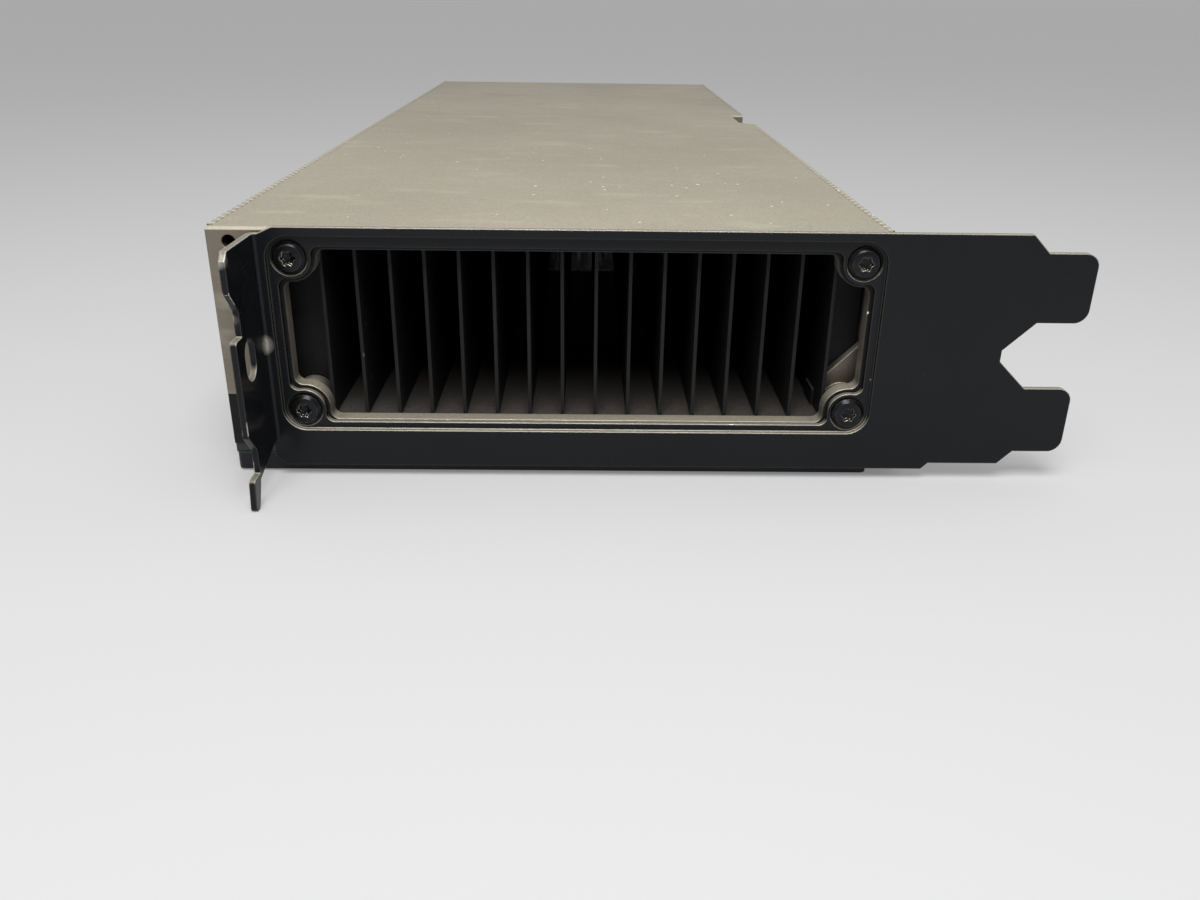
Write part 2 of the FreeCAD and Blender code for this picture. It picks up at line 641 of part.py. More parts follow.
def make_midframe():
    """Rim, stepped floor, lands over the power parts and both sets of coarse fins, cast in one."""
    step = DECK_STEP_AT
    low = DECK_TOP - DECK_THICKNESS
    pieces = [frame_walls(), deck(FINS_FRONT, step, DECK_TOP),
              block(SHROUD_START + FRAME_WALL / 2, SHROUD_END - FRAME_WALL / 2, step - DECK_THICKNESS,
                    step, low, HIGH_DECK_TOP),
              deck(step - DECK_THICKNESS, FRONT_FINS_END, HIGH_DECK_TOP),
              deck(REAR_FINS_START, BOARD_REAR - END_RAIL / 2, HIGH_DECK_TOP)]
    for y, length, height in padded_rows():
        pieces.append(row_box(y, length, BOARD_TOP + height + PAD_THICKNESS, HIGH_DECK_FLOOR + OVER / 2, 0))
    pieces += baffles()
    pieces += coarse_fins(FINS_FRONT, step, DECK_TOP)
    pieces += coarse_fins(step - SHEET, FRONT_FINS_END, HIGH_DECK_TOP)
    pieces += coarse_fins(REAR_FINS_START, REAR_FINS_END, HIGH_DECK_TOP)
    for x, y in back_screw_spots():
        pieces.append(post(x, y, HIGH_DECK_FLOOR - BOARD_TOP + OVER))
    tab_floor = -SKIRT_DROP - OVER
    for face, axis in side_screw_spots():
        inner = face + axis * (SHROUD_WALL + SLIP)
        deep = inner + axis * TIE_TAB_THICKNESS
        pieces.append(block(min(inner.x, deep.x), max(inner.x, deep.x), inner.y - TIE_TAB_WIDTH / 2,
                            inner.y + TIE_TAB_WIDTH / 2, tab_floor, -SKIRT_DROP + TIE_TAB_HEIGHT))
        pieces.append(block(min(face.x, deep.x), max(face.x, deep.x), inner.y - TIE_TAB_WIDTH / 2,
                            inner.y + TIE_TAB_WIDTH / 2, tab_floor - OVER, -SKIRT_DROP))
    body = join(pieces)
    for x, z in pad_spots():
        body = body.cut(rod(BOSS_RADIUS + SLIP, BOSS_LENGTH + SLIP, V(x, FRONT, z), Y))
    for x, y in back_screw_spots():
        body = body.cut(stud(FLAT_SHANK_RADIUS + FIT, back_screw_length(), V(x, y, BACKPLATE_FLOOR), Z))
    for face, axis in side_screw_spots():
        body = body.cut(stud(SIDE_SHANK_RADIUS + FIT, side_screw_length() + OVER, face, axis))
    for x in extender_spots():
        body = body.cut(rod(EXTENDER_HOLE_RADIUS, EXTENDER_HOLE_DEPTH + OVER,
                            V(x, BOARD_REAR - EXTENDER_HOLE_DEPTH, extender_level()), Y))
    for y in bridge_spots():
        body = body.cut(bridge_gap(y, BOARD_TOP - OVER, cap_top() + SLIP))
    return body.cut(inlet_space())


def extender_level():
    """Height of the threaded holes in the rear rail."""
    return (BOARD_TOP - SKIRT_DROP) / 2


# ---- main heatsink
def make_vapour_chamber():
    """Flat sealed chamber with a raised pad over the processor and four threaded posts."""
    body = block(DUCT_START, DUCT_END, CHAMBER_FRONT, CHAMBER_REAR, CHAMBER_FLOOR, HIGH_DECK_TOP)
    half_x = DIE_WIDTH / 2 + MEMORY_GAP + MEMORY_WIDTH + PEDESTAL_MARGIN
    half_y = DIE_LENGTH / 2 + PEDESTAL_MARGIN
    pedestal = block(PROCESSOR_X - half_x, PROCESSOR_X + half_x, PROCESSOR_Y - half_y, PROCESSOR_Y + half_y,
                     DIE_TOP + PASTE_THICKNESS, CHAMBER_FLOOR + OVER / 2)
    pieces = [body, pedestal]
    depth = CHAMBER_FLOOR - BOARD_TOP
    for x, y in retention_spots():
        pieces.append(post(x, y, depth + OVER / 2))
    body = join(pieces)
    for x, y in retention_spots():
        body = body.cut(stud(SPRING_SCREW_RADIUS + FIT, depth, V(x, y, BOARD_TOP), Z))
    return body


def make_main_fins():
    """Thin folded fins at half the coarse pitch, each with a foot and a head flange."""
    spots = fin_spots(PLATE_FIN_PITCH)
    t = PLATE_FIN_THICKNESS
    foot = PLATE_FIN_FOOT
    low, high = HIGH_DECK_TOP, FIN_TOP
    fins = []
    for spot in spots:
        x = spot - t / 2
        outline = [(x, low), (x + foot, low), (x + foot, low + t), (x + t, low + t), (x + t, high - t),
                   (x + foot, high - t), (x + foot, high), (x, high)]
        if spot == spots[-1]:
            outline = [(x, low), (x + t, low), (x + t, high), (x, high)]
        fins.append(prism([V(px, CHAMBER_FRONT + CHAMBER_MARGIN, pz) for px, pz in outline],
                          V(0, CHAMBER_REAR - CHAMBER_FRONT - 2 * CHAMBER_MARGIN, 0)))
    return group(fins)


# ---- processor package
def centred(width, length, z0, z1):
    """A block centred on the processor."""
    return block(PROCESSOR_X - width / 2, PROCESSOR_X + width / 2, PROCESSOR_Y - length / 2,
                 PROCESSOR_Y + length / 2, z0, z1)


def make_substrate():
    """The package's laminate carrier."""
    return centred(PACKAGE_SIDE, PACKAGE_SIDE, BOARD_TOP, BOARD_TOP + SUBSTRATE_THICKNESS)


def make_die():
    """The processor's bare die."""
    return centred(DIE_WIDTH, DIE_LENGTH, BOARD_TOP + SUBSTRATE_THICKNESS, DIE_TOP)


def make_memory():
    """Memory stacks in a row on each side of the die."""
    stacks = []
    length = (DIE_LENGTH - (MEMORY_PER_SIDE - 1) * MEMORY_GAP) / MEMORY_PER_SIDE
    for side in (-1, 1):
        x = PROCESSOR_X + side * (DIE_WIDTH / 2 + MEMORY_GAP + MEMORY_WIDTH / 2)
        for y in spread(MEMORY_PER_SIDE, length + MEMORY_GAP, PROCESSOR_Y):
            stacks.append(block(x - MEMORY_WIDTH / 2, x + MEMORY_WIDTH / 2, y - length / 2, y + length / 2,
                                BOARD_TOP + SUBSTRATE_THICKNESS, DIE_TOP))
    return group(stacks)


def make_stiffener():
    """The metal ring that keeps the laminate flat."""
    base = BOARD_TOP + SUBSTRATE_THICKNESS
    inner = PACKAGE_SIDE - 2 * STIFFENER_WIDTH
    ring = centred(PACKAGE_SIDE, PACKAGE_SIDE, base, base + STIFFENER_THICKNESS)
    return ring.cut(centred(inner, inner, base - OVER, base + STIFFENER_THICKNESS + OVER))


def make_paste():
    """Film of thermal compound over die and memory."""
    width = DIE_WIDTH + 2 * (MEMORY_GAP + MEMORY_WIDTH)
    return centred(width, DIE_LENGTH, DIE_TOP, DIE_TOP + PASTE_THICKNESS)


# ---- power parts
def power_row(y, width, length, height):
    """One row of equal parts standing on the board."""
    return [block(x - width / 2, x + width / 2, y - length / 2, y + length / 2, BOARD_TOP, BOARD_TOP + height)
            for x in spread(STAGE_COUNT, STAGE_PITCH, DUCT_MIDDLE)]


def padded_rows():
    """The rows that press on the midframe through a pad, as (y, length, height)."""
    front, rear = power_rows()
    return [(front[0], STAGE_LENGTH, STAGE_HEIGHT), (front[1], CHOKE_SIDE, CHOKE_HEIGHT),
            (rear[0], STAGE_LENGTH, STAGE_HEIGHT), (rear[1], CHOKE_SIDE, CHOKE_HEIGHT)]


def make_power_stages():
    """Switching stages, one row before and one row behind the processor."""
    return group([s for rows in power_rows() for s in power_row(rows[0], STAGE_WIDTH, STAGE_LENGTH,
                                                                STAGE_HEIGHT)])


def make_chokes():
    """Moulded chokes beside the switching stages."""
    return group([s for rows in power_rows() for s in power_row(rows[1], CHOKE_SIDE, CHOKE_SIDE,
                                                                CHOKE_HEIGHT)])


def make_capacitors():
    """Polymer capacitors."""
    return group([s for rows in power_rows() for s in power_row(rows[2], CAPACITOR_WIDTH, CAPACITOR_LENGTH,
                                                                CAPACITOR_HEIGHT)])


def make_thermal_pads():
    """Soft strips between the power parts and the midframe's lands."""
    return group([row_box(y, length, BOARD_TOP + height, BOARD_TOP + height + PAD_THICKNESS, PAD_INSET)
                  for y, length, height in padded_rows()])


def make_controllers():
    """Regulator, board controller and memory chips on the open stretches of the board."""
    chips = []
    for y in (CHIP_ROW_FROM_FRONT, REAR - CHIP_ROW_FROM_END):
        for x, side in zip(spread(len(CHIP_SIDES), CHIP_PITCH, DUCT_MIDDLE), CHIP_SIDES):
            chips.append(block(x - side / 2, x + side / 2, y - side / 2, y + side / 2, BOARD_TOP,
                               BOARD_TOP + STAGE_HEIGHT))
    return group(chips)


# ---- board
def board_outline():
    """The board's edge, round from its front upper corner, as (x, y)."""
    top = SHROUD_START
    notch = top + BRIDGE_REACH
    tab = FINGER_EDGE
    shoulder = SHOULDER_EDGE
    first = KEY_FROM_BRACKET - TAB_BEFORE_KEY
    last = KEY_FROM_BRACKET + TAB_AFTER_KEY
    hook = last + HOOK_GAP
    toe = shoulder + HOOK_HEIGHT
    points = [(top, BOARD_FRONT), (shoulder, BOARD_FRONT), (shoulder, first), (tab, first), (tab, last),
              (shoulder, last), (shoulder, hook + HOOK_TOE), (toe - HOOK_TOE, hook + HOOK_TOE),
              (toe - HOOK_TOE, hook), (toe, hook), (toe, hook + HOOK_WIDTH - HOOK_TOE / 2),
              (toe - HOOK_TOE / 2, hook + HOOK_WIDTH), (shoulder, hook + HOOK_WIDTH),
              (shoulder, BOARD_REAR), (top, BOARD_REAR)]
    for y in reversed(bridge_spots()):
        half = BRIDGE_WIDTH / 2
        outer = half + BRIDGE_SLOT
        lip = top + BRIDGE_SETBACK
        points += [(top, y + outer), (notch, y + outer), (notch, y + half), (lip, y + half),
                   (lip, y - half), (notch, y - half), (notch, y - outer), (top, y - outer)]
    return points


def make_board():
    """Laminate board with the edge-connector tab, key notch, latch hook and bridge tabs."""
    body = prism([V(x, y, BOARD_BOTTOM) for x, y in board_outline()], V(0, 0, BOARD_THICKNESS))
    tip = edges_along(body, Y, lambda m: abs(m.x - FINGER_EDGE) < TOUCH)
    body = body.makeChamfer(TAB_BEVEL, tip)
    key = block(FINGER_EDGE - KEY_DEPTH + KEY_WIDTH / 2, FINGER_EDGE + OVER, KEY_FROM_BRACKET - KEY_WIDTH / 2,
                KEY_FROM_BRACKET + KEY_WIDTH / 2, BOARD_BOTTOM - OVER, BOARD_TOP + OVER)
    root = rod(KEY_WIDTH / 2, BOARD_THICKNESS + 2 * OVER,
               V(FINGER_EDGE - KEY_DEPTH + KEY_WIDTH / 2, KEY_FROM_BRACKET, BOARD_BOTTOM - OVER), Z)
    body = body.cut(key).cut(root)
    through = BOARD_THICKNESS + 2 * OVER
    for x, y in back_screw_spots():
        body = body.cut(stud(FLAT_SHANK_RADIUS + SLIP, through, V(x, y, BOARD_BOTTOM - OVER), Z))
    for x, y in retention_spots():
        body = body.cut(stud(SPRING_SCREW_RADIUS + SLIP, through, V(x, y, BOARD_BOTTOM - OVER), Z))
    return body


def contact_pair(x, y, length, width):
    """One gold contact on each face of the board, at the same place."""
    half = width / 2
    return [block(x, x + length, y - half, y + half, BOARD_TOP, BOARD_TOP + CONTACT_FOIL),
            block(x, x + length, y - half, y + half, BOARD_BOTTOM - CONTACT_FOIL, BOARD_BOTTOM)]


def make_edge_contacts():
    """Gold contacts along the edge-connector tab, both faces."""
    start = FINGER_EDGE - CONTACT_INSET - CONTACT_LENGTH
    places = [KEY_FROM_BRACKET - CONTACT_FROM_KEY - i * CONTACT_PITCH for i in range(CONTACTS_BEFORE_KEY)]
    places += [KEY_FROM_BRACKET + CONTACT_FROM_KEY + i * CONTACT_PITCH for i in range(CONTACTS_AFTER_KEY)]
    return group([c for y in places for c in contact_pair(start, y, CONTACT_LENGTH, CONTACT_WIDTH)])


def make_bridge_contacts():
    """Gold contacts on the three bridge tabs, both faces."""
    start = SHROUD_START + BRIDGE_SETBACK + CONTACT_INSET
    contacts = []
    for centre in bridge_spots():
        for y in spread(BRIDGE_CONTACT_COUNT, BRIDGE_CONTACT_PITCH, centre):
            contacts += contact_pair(start, y, CONTACT_LENGTH - CONTACT_INSET, BRIDGE_CONTACT_PITCH / 2)
    return group(contacts)


def make_bridge_caps():
    """Soft dust caps pushed over the bridge tabs."""
    caps = []
    gap = CONTACT_FOIL + FIT
    for centre in bridge_spots():
        half = BRIDGE_WIDTH / 2
        shell = block(SHROUD_START, SHROUD_START + BRIDGE_REACH - SLIP, centre - half - CAP_WALL,
                      centre + half + CAP_WALL, BOARD_BOTTOM - gap - CAP_WALL, cap_top())
        slot = block(SHROUD_START + BRIDGE_SETBACK, SHROUD_START + BRIDGE_REACH + OVER, centre - half - FIT,
                     centre + half + FIT, BOARD_BOTTOM - gap, BOARD_TOP + gap)
        caps.append(shell.cut(slot))
    return group(caps)


# ---- power inlet
def inlet_space():
    """Room for the power inlet in the midframe's rear corner."""
    return block(INLET_START - SLIP, INLET_START + INLET_WIDTH + SLIP, BOARD_REAR - INLET_LENGTH - SLIP,
                 REAR + OVER, BOARD_TOP - OVER, BOARD_TOP + INLET_HEIGHT + SLIP)


def socket_spots():
    """Centres of the inlet's sockets, as (x, z)."""
    columns = spread(INLET_COLUMNS, INLET_PITCH, INLET_START + INLET_WIDTH / 2)
    rows = spread(INLET_ROWS, INLET_PITCH, BOARD_TOP + INLET_HEIGHT / 2)
    return [(x, z) for x in columns for z in rows]


def make_inlet():
    """Housing with a socket for each contact, open to the rear."""
    body = block(INLET_START, INLET_START + INLET_WIDTH, BOARD_REAR - INLET_LENGTH, BOARD_REAR,
                 BOARD_TOP, BOARD_TOP + INLET_HEIGHT)
    half = SOCKET_SIDE / 2
    for x, z in socket_spots():
        body = body.cut(block(x - half, x + half, BOARD_REAR - SOCKET_DEPTH, BOARD_REAR + OVER,
                              z - half, z + half))
    return body


def make_inlet_pins():
    """Square pins standing in the sockets."""
    half = BLADE / 2
    start = BOARD_REAR - SOCKET_DEPTH
    return group([block(x - half, x + half, start, start + BLADE_LENGTH, z - half, z + half)
                  for x, z in socket_spots()])


# ---- backplate
def back_screw_length():
    """From the backplate's outer face into the midframe's post."""
    return HIGH_DECK_FLOOR - BACKPLATE_FLOOR - OVER


def make_backplate():
    """Tray under the board, its rim and bosses standing against the board's underside."""
    tray = rounded_block(BACKPLATE_ROUND, SHROUD_START, SHROUD_END, FRONT, BOARD_REAR, BACKPLATE_FLOOR,
                         BOARD_BOTTOM)
    room = block(SHROUD_START + BACKPLATE_RIM, SHROUD_END - BACKPLATE_RIM, FRONT + BACKPLATE_RIM,
                 BOARD_REAR - BACKPLATE_RIM, BACKPLATE_FLOOR + BACKPLATE_SKIN, BOARD_BOTTOM + OVER)
    tray = tray.cut(room)
    half = POST_SIDE / 2
    tray = join([tray] + [block(x - half, x + half, y - half, y + half, BACKPLATE_FLOOR, BOARD_BOTTOM)
                          for x, y in back_screw_spots()])
    for x, y in back_screw_spots():
        tray = tray.cut(sunk_screw(V(x, y, BACKPLATE_FLOOR), Z, FLAT_HEAD_RADIUS, FLAT_HEAD_HEIGHT,
                                   FLAT_SHANK_RADIUS, BACKPLATE_HEIGHT + OVER, FIT))
    for x, y in retention_spots():
        tray = tray.cut(stud(SPRING_HEAD_RADIUS + SLIP, BACKPLATE_HEIGHT + OVER,
                             V(x, y, BACKPLATE_FLOOR - OVER), Z))
    for y in bridge_spots():
        tray = tray.cut(bridge_gap(y, BACKPLATE_FLOOR + BACKPLATE_SKIN, BOARD_BOTTOM + OVER))
    return tray


def make_backplate_screws():
    """Sunk screws from the backplate through the board into the midframe."""
    return group([sunk_screw(V(x, y, BACKPLATE_FLOOR), Z, FLAT_HEAD_RADIUS, FLAT_HEAD_HEIGHT,
                             FLAT_SHANK_RADIUS, back_screw_length() - FIT) for x, y in back_screw_spots()])


def spring_head_top():
    """Height of the sprung screws' bearing face below the board."""
    return BACKPLATE_FLOOR + SPRING_HEAD_HEIGHT


def make_retention_screws():
    """Four sprung screws that pull the vapour chamber onto the processor."""
    screws = []
    length = CHAMBER_FLOOR - BACKPLATE_FLOOR - OVER
    for x, y in retention_spots():
        foot = V(x, y, BACKPLATE_FLOOR)
        head = stud(SPRING_HEAD_RADIUS, SPRING_HEAD_HEIGHT, foot, Z)
        screws.append(join([head, stud(SPRING_SCREW_RADIUS, length, foot, Z)]))
    return group(screws)


def make_retention_springs():
    """Plain sleeves in place of the coils between the screw heads and the board."""
    springs = []
    room = BOARD_BOTTOM - spring_head_top()
    for x, y in retention_spots():
        foot = V(x, y, spring_head_top())
        springs.append(stud(SPRING_RADIUS, room, foot, Z).cut(stud(SPRING_SCREW_RADIUS + FIT, room, foot, Z)))
    return group(springs)


def main():
    """Write one STEP file for each kind of piece."""
    os.makedirs("parts", exist_ok=True)
    save("bracket", make_bracket())
    save("bracket_screws", make_bracket_screws())
    save("shroud", make_shroud())
    save("shroud_screws", make_shroud_screws())
    save("midframe", make_midframe())
    save("vapour_chamber", make_vapour_chamber())
    save("main_fins", make_main_fins())
    save("processor_substrate", make_substrate())
    save("processor_die", make_die())
    save("memory_stacks", make_memory())
    save("package_stiffener", make_stiffener())
    save("thermal_paste", make_paste())
    save("power_stages", make_power_stages())
    save("chokes", make_chokes())
    save("capacitors", make_capacitors())
    save("thermal_pads", make_thermal_pads())
    save("controller_chips", make_controllers())
    save("circuit_board", make_board())
    save("edge_contacts", make_edge_contacts())
    save("bridge_contacts", make_bridge_contacts())
    save("bridge_caps", make_bridge_caps())
    save("power_inlet", make_inlet())
    save("inlet_pins", make_inlet_pins())
    save("backplate", make_backplate())
    save("backplate_screws", make_backplate_screws())
    save("retention_screws", make_retention_screws())
    save("retention_springs", make_retention_springs())


main()
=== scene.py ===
# %% [markdown]
# # Passive accelerator card
# A full-height, two-slot card that is cooled by the air of the server it sits in.  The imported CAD
# model is the fixed frame: every length here is in metres and every place is read from it.
# First comes the frame, then the finishes, then the small forms that are too fine for the CAD
# model, and last the plain studio that the card lies in.

import bmesh
import bpy
import json
import math
from mathutils import Matrix, Vector


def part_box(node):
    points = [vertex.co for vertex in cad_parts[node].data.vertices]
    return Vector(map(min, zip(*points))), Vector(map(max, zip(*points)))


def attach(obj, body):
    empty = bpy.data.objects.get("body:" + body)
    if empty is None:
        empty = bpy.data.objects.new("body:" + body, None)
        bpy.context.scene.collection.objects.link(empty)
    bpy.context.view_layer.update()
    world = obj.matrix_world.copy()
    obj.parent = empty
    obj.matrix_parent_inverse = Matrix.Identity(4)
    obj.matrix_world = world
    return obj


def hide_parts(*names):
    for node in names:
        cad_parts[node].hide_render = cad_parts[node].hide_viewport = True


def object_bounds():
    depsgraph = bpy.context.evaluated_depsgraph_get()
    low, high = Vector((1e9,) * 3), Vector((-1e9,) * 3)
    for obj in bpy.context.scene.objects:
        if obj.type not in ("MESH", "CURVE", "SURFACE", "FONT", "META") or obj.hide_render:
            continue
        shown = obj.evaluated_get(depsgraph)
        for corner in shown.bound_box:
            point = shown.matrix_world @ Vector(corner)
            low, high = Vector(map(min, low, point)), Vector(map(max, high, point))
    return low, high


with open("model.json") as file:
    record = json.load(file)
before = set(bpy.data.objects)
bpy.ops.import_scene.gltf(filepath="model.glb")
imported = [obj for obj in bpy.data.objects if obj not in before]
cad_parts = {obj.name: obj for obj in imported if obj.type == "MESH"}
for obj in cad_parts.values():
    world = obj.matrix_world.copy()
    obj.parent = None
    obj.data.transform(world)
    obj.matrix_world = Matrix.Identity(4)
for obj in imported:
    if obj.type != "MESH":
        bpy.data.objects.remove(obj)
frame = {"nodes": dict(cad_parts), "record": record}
cad_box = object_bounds()
MM = 0.001
print("CAD box in mm:", [round(v / MM, 2) for corner in cad_box for v in corner])

# %% [markdown]
# ## Building shader graphs
# Each finish is a small graph.  Drawn by hand in the editor it would be hard to read again, so it is
# written here in lines.  `add` makes one node: settings are the node's own options, and every other
# name is a socket, which takes either a value or the output of another node.


# %% Node helpers
def add(tree, kind, settings=None, **sockets):
    """One shader node, its sockets set to values or joined to other nodes' outputs."""
    made = tree.nodes.new("ShaderNode" + kind)
    for name, value in (settings or {}).items():
        setattr(made, name, value)
    for name, value in sockets.items():
        plug(tree, made.inputs[name.replace("_", " ")], value)
    return made


def plug(tree, socket, value):
    """A value set on a socket, or an output joined to it."""
    if isinstance(value, bpy.types.NodeSocket):
        tree.links.new(value, socket)
    else:
        socket.default_value = value


def rgb(red, green, blue):
    """A colour as a shader takes it."""
    return (red, green, blue, 1.0)


def object_place(tree):
    """The place on the object itself, in metres."""
    return add(tree, "TexCoord").outputs["Object"]


def noise(tree, place, scale, detail, rough=0.5):
    """Cloudy noise, most of it between 0.3 and 0.7."""
    return add(tree, "TexNoise", Vector=place, Scale=scale, Detail=detail, Roughness=rough).outputs[0]


# %% Masks
def maths(tree, operation, first, second=0.0):
    """Arithmetic on two values."""
    made = add(tree, "Math", {"operation": operation})
    plug(tree, made.inputs[0], first)
    plug(tree, made.inputs[1], second)
    return made.outputs[0]


def product(tree, first, *others):
    """Masks that hold only together, or one mask made weaker."""
    for other in others:
        first = maths(tree, "MULTIPLY", first, other)
    return first


def strongest(tree, first, *others):
    """The strongest of several masks."""
    for other in others:
        first = maths(tree, "MAXIMUM", first, other)
    return first


# %% Blends and ranges
def blend(tree, factor, first, second):
    """One colour turning into another as a mask rises."""
    made = add(tree, "Mix", {"data_type": "RGBA"})
    plug(tree, made.inputs[0], factor)
    plug(tree, made.inputs[6], first)
    plug(tree, made.inputs[7], second)
    return made.outputs[2]


def span(tree, value, low, high, start=0.0, end=1.0):
    """A value that runs from start to end, laid over low to high and kept inside it."""
    made = add(tree, "MapRange", Value=value, From_Min=start, From_Max=end, To_Min=low, To_Max=high)
    return made.outputs[0]


# %% Empty groups
def new_group(name, numbers, outputs):
    """An empty node group with number inputs and the named outputs."""
    group = bpy.data.node_groups.new(name, "ShaderNodeTree")
    for label, value in numbers.items():
        socket = group.interface.new_socket(label, in_out="INPUT", socket_type="NodeSocketFloat")
        socket.default_value = value
    for label, kind in outputs.items():
        group.interface.new_socket(label, in_out="OUTPUT", socket_type="NodeSocket" + kind)
    return group, group.nodes.new("NodeGroupInput"), group.nodes.new("NodeGroupOutput")


# %% [markdown]
# ## What every surface has
# No made surface is even.  It has a grain, slow blotches from handling and from the process, and edges
# that catch light and lose their coat first.  Its corners, which see little sky, can take a painted
# shade.  These could be drawn anew in each finish; one group gives them all, so a finish only says how
# large and how strong each is.  The edge mask compares the true face direction with the direction that
# a tiny rounding would give it.  The brow is the share of an edge whose rounding faces up, where finishes
# paint a highlight, and the rounded direction itself is handed on so that edges glint.


# %% Shared surface group
CORNER_REACH = 3.5 * MM
SOFT_SAMPLES = 6
# Where each mask starts and is full: the edge by how alike two directions are, the corner by how much
# sky it sees, and the brow and the upward faces by how far they face up.
EDGE_ALIKE = (0.86, 0.985)
CORNER_SKY = (0.25, 0.95)
BROW_LIFT = (0.1, 0.6)
FACING_UP = (0.3, 0.8)


def make_surface_group():
    """Grain, blotches, edge, brow, corner and upward masks, and the rounded edge direction."""
    group, given, out = new_group(
        "surface",
        {"Grain Scale": 4000.0, "Blotch Scale": 40.0, "Edge Radius": 0.0003},
        {"Grain": "Float", "Blotch": "Float", "Edge": "Float", "Brow": "Float", "Corner": "Float",
         "Up": "Float", "Rounded": "Vector"},
    )
    place = object_place(group)
    rounded = add(group, "Bevel", {"samples": SOFT_SAMPLES}, Radius=given.outputs["Edge Radius"]).outputs[0]
    flat = add(group, "NewGeometry").outputs["Normal"]
    alike = add(group, "VectorMath", {"operation": "DOT_PRODUCT"})
    plug(group, alike.inputs[0], rounded)
    plug(group, alike.inputs[1], flat)
    edge = span(group, alike.outputs["Value"], 1.0, 0.0, *EDGE_ALIKE)
    lifted = add(group, "SeparateXYZ", Vector=rounded).outputs["Z"]
    sky_seen = add(group, "AmbientOcclusion", {"samples": SOFT_SAMPLES}, Distance=CORNER_REACH).outputs["AO"]
    upward = add(group, "SeparateXYZ", Vector=flat).outputs["Z"]
    masks = {
        "Grain": noise(group, place, given.outputs["Grain Scale"], 3.0, 0.6),
        "Blotch": noise(group, place, given.outputs["Blotch Scale"], 4.0, 0.55),
        "Edge": edge,
        "Brow": product(group, edge, span(group, lifted, 0.0, 1.0, *BROW_LIFT)),
        "Corner": span(group, sky_seen, 1.0, 0.0, *CORNER_SKY),
        "Up": span(group, upward, 0.0, 1.0, *FACING_UP),
        "Rounded": rounded,
    }
    for label, mask in masks.items():
        group.links.new(mask, out.inputs[label])
    return group


SURFACE = make_surface_group()
print("surface group:", [socket.name for socket in SURFACE.interface.items_tree])

# %% [markdown]
# ## Specks and chips
# Dust, lint and chips are small separate spots.  Plain noise would give clouds in their place, so
# they are cells of a Voronoi pattern.  Each cell gets a random number; only a few are allowed a spot,
# and the spot's size is a share of the cell.

# %% Spot group
LEAST_REACH = 0.2


def make_spot_group():
    """A mask of scattered small spots."""
    group, given, out = new_group(
        "spots", {"Scale": 100.0, "Share": 0.1, "Size": 0.2}, {"Mask": "Float"}
    )
    place = object_place(group)
    wobble = noise(group, place, given.outputs["Scale"], 2.0)
    cells = add(group, "TexVoronoi", Vector=place, Scale=given.outputs["Scale"])
    reach = product(group, given.outputs["Size"], maths(group, "ADD", wobble, LEAST_REACH))
    inside = maths(group, "LESS_THAN", cells.outputs["Distance"], reach)
    chosen = add(group, "SeparateColor", Color=cells.outputs["Color"]).outputs[0]
    allowed = maths(group, "LESS_THAN", chosen, given.outputs["Share"])
    group.links.new(product(group, inside, allowed), out.inputs["Mask"])
    return group


SPOTS = make_spot_group()
print("spot group:", [socket.name for socket in SPOTS.interface.items_tree])

# %% [markdown]
# ## Starting and ending a finish
# Every material starts with the surface group and ends with one shader, whose bump lies over the
# rounded edges.  The shader stays in the material itself, where its own sockets can be read.

# %% Starting a finish
finish = {}


def start(slot, grain, blotch, edge):
    """A new material with the shared surface group in it; sizes are lengths on the object."""
    material = bpy.data.materials.new(slot + "_finish")
    finish[slot] = material
    material.use_nodes = True
    tree = material.node_tree
    tree.nodes.clear()
    surface = add(tree, "Group", {"node_tree": SURFACE})
    surface.inputs["Grain Scale"].default_value = 1 / grain
    surface.inputs["Blotch Scale"].default_value = 1 / blotch
    surface.inputs["Edge Radius"].default_value = edge
    return tree, surface.outputs


def spots(tree, scale, share, size):
    """The spot mask at one scale."""
    made = add(tree, "Group", {"node_tree": SPOTS})
    made.inputs["Scale"].default_value = scale
    made.inputs["Share"].default_value = share
    made.inputs["Size"].default_value = size
    return made.outputs[0]


def end(tree, surface, height, depth, **sockets):
    """The shader itself: a bump from a height, over the rounded edges."""
    bump = add(tree, "Bump", Strength=1.0, Distance=depth, Height=height, Normal=surface["Rounded"])
    shader = add(tree, "BsdfPrincipled", Normal=bump.outputs[0], **sockets)
    result = add(tree, "OutputMaterial")
    tree.links.new(shader.outputs[0], result.inputs[0])


def tell(*slots):
    """What was made, for the reader."""
    for slot in slots:
        print(slot, "has", len(finish[slot].node_tree.nodes), "nodes")


# %% [markdown]
# ## Champagne aluminium
# The shroud is bead blasted and anodised: a satin metal with a very fine sparkle, slow smudges from
# hands, pale wipes across it, a few specks of dust and a faint bare line along each broken edge, with a
# painted highlight where an edge's rounding faces up.  Its upright faces carry a painted shade that
# makes them darker than its top, and its corners a painted shade too.  The narrow land that faces out
# round the air window is painted nearly black, as the shade of the bracket's edge; a second material
# would need its own faces, so a mask from the screws' box picks the land out instead.

# %% Shroud tones
CHAMPAGNE_DARK = rgb(0.53, 0.48, 0.375)
CHAMPAGNE_LIGHT = rgb(0.6, 0.545, 0.43)
CHAMPAGNE_UPRIGHT_SHADE = rgb(0.24, 0.21, 0.175)
BLAST_SHADE = rgb(0.2, 0.18, 0.14)
SMUDGE_TONE = rgb(0.36, 0.33, 0.265)
WIPE_TONE = rgb(0.72, 0.67, 0.51)
CORNER_PAINTED_SHADE = rgb(0.035, 0.032, 0.028)
LAND_PAINTED_SHADE = rgb(0.012, 0.012, 0.013)
GLINT_AND_BARE_EDGE = rgb(0.85, 0.81, 0.66)
DUST_TONE = rgb(0.93, 0.91, 0.86)
print("champagne from", CHAMPAGNE_DARK[:3], "to", CHAMPAGNE_LIGHT[:3])

# %% The land in painted shade
LAND_DEPTH = 0.3 * MM
FACING_OUT = -0.7
shroud_low, shroud_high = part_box("shroud")


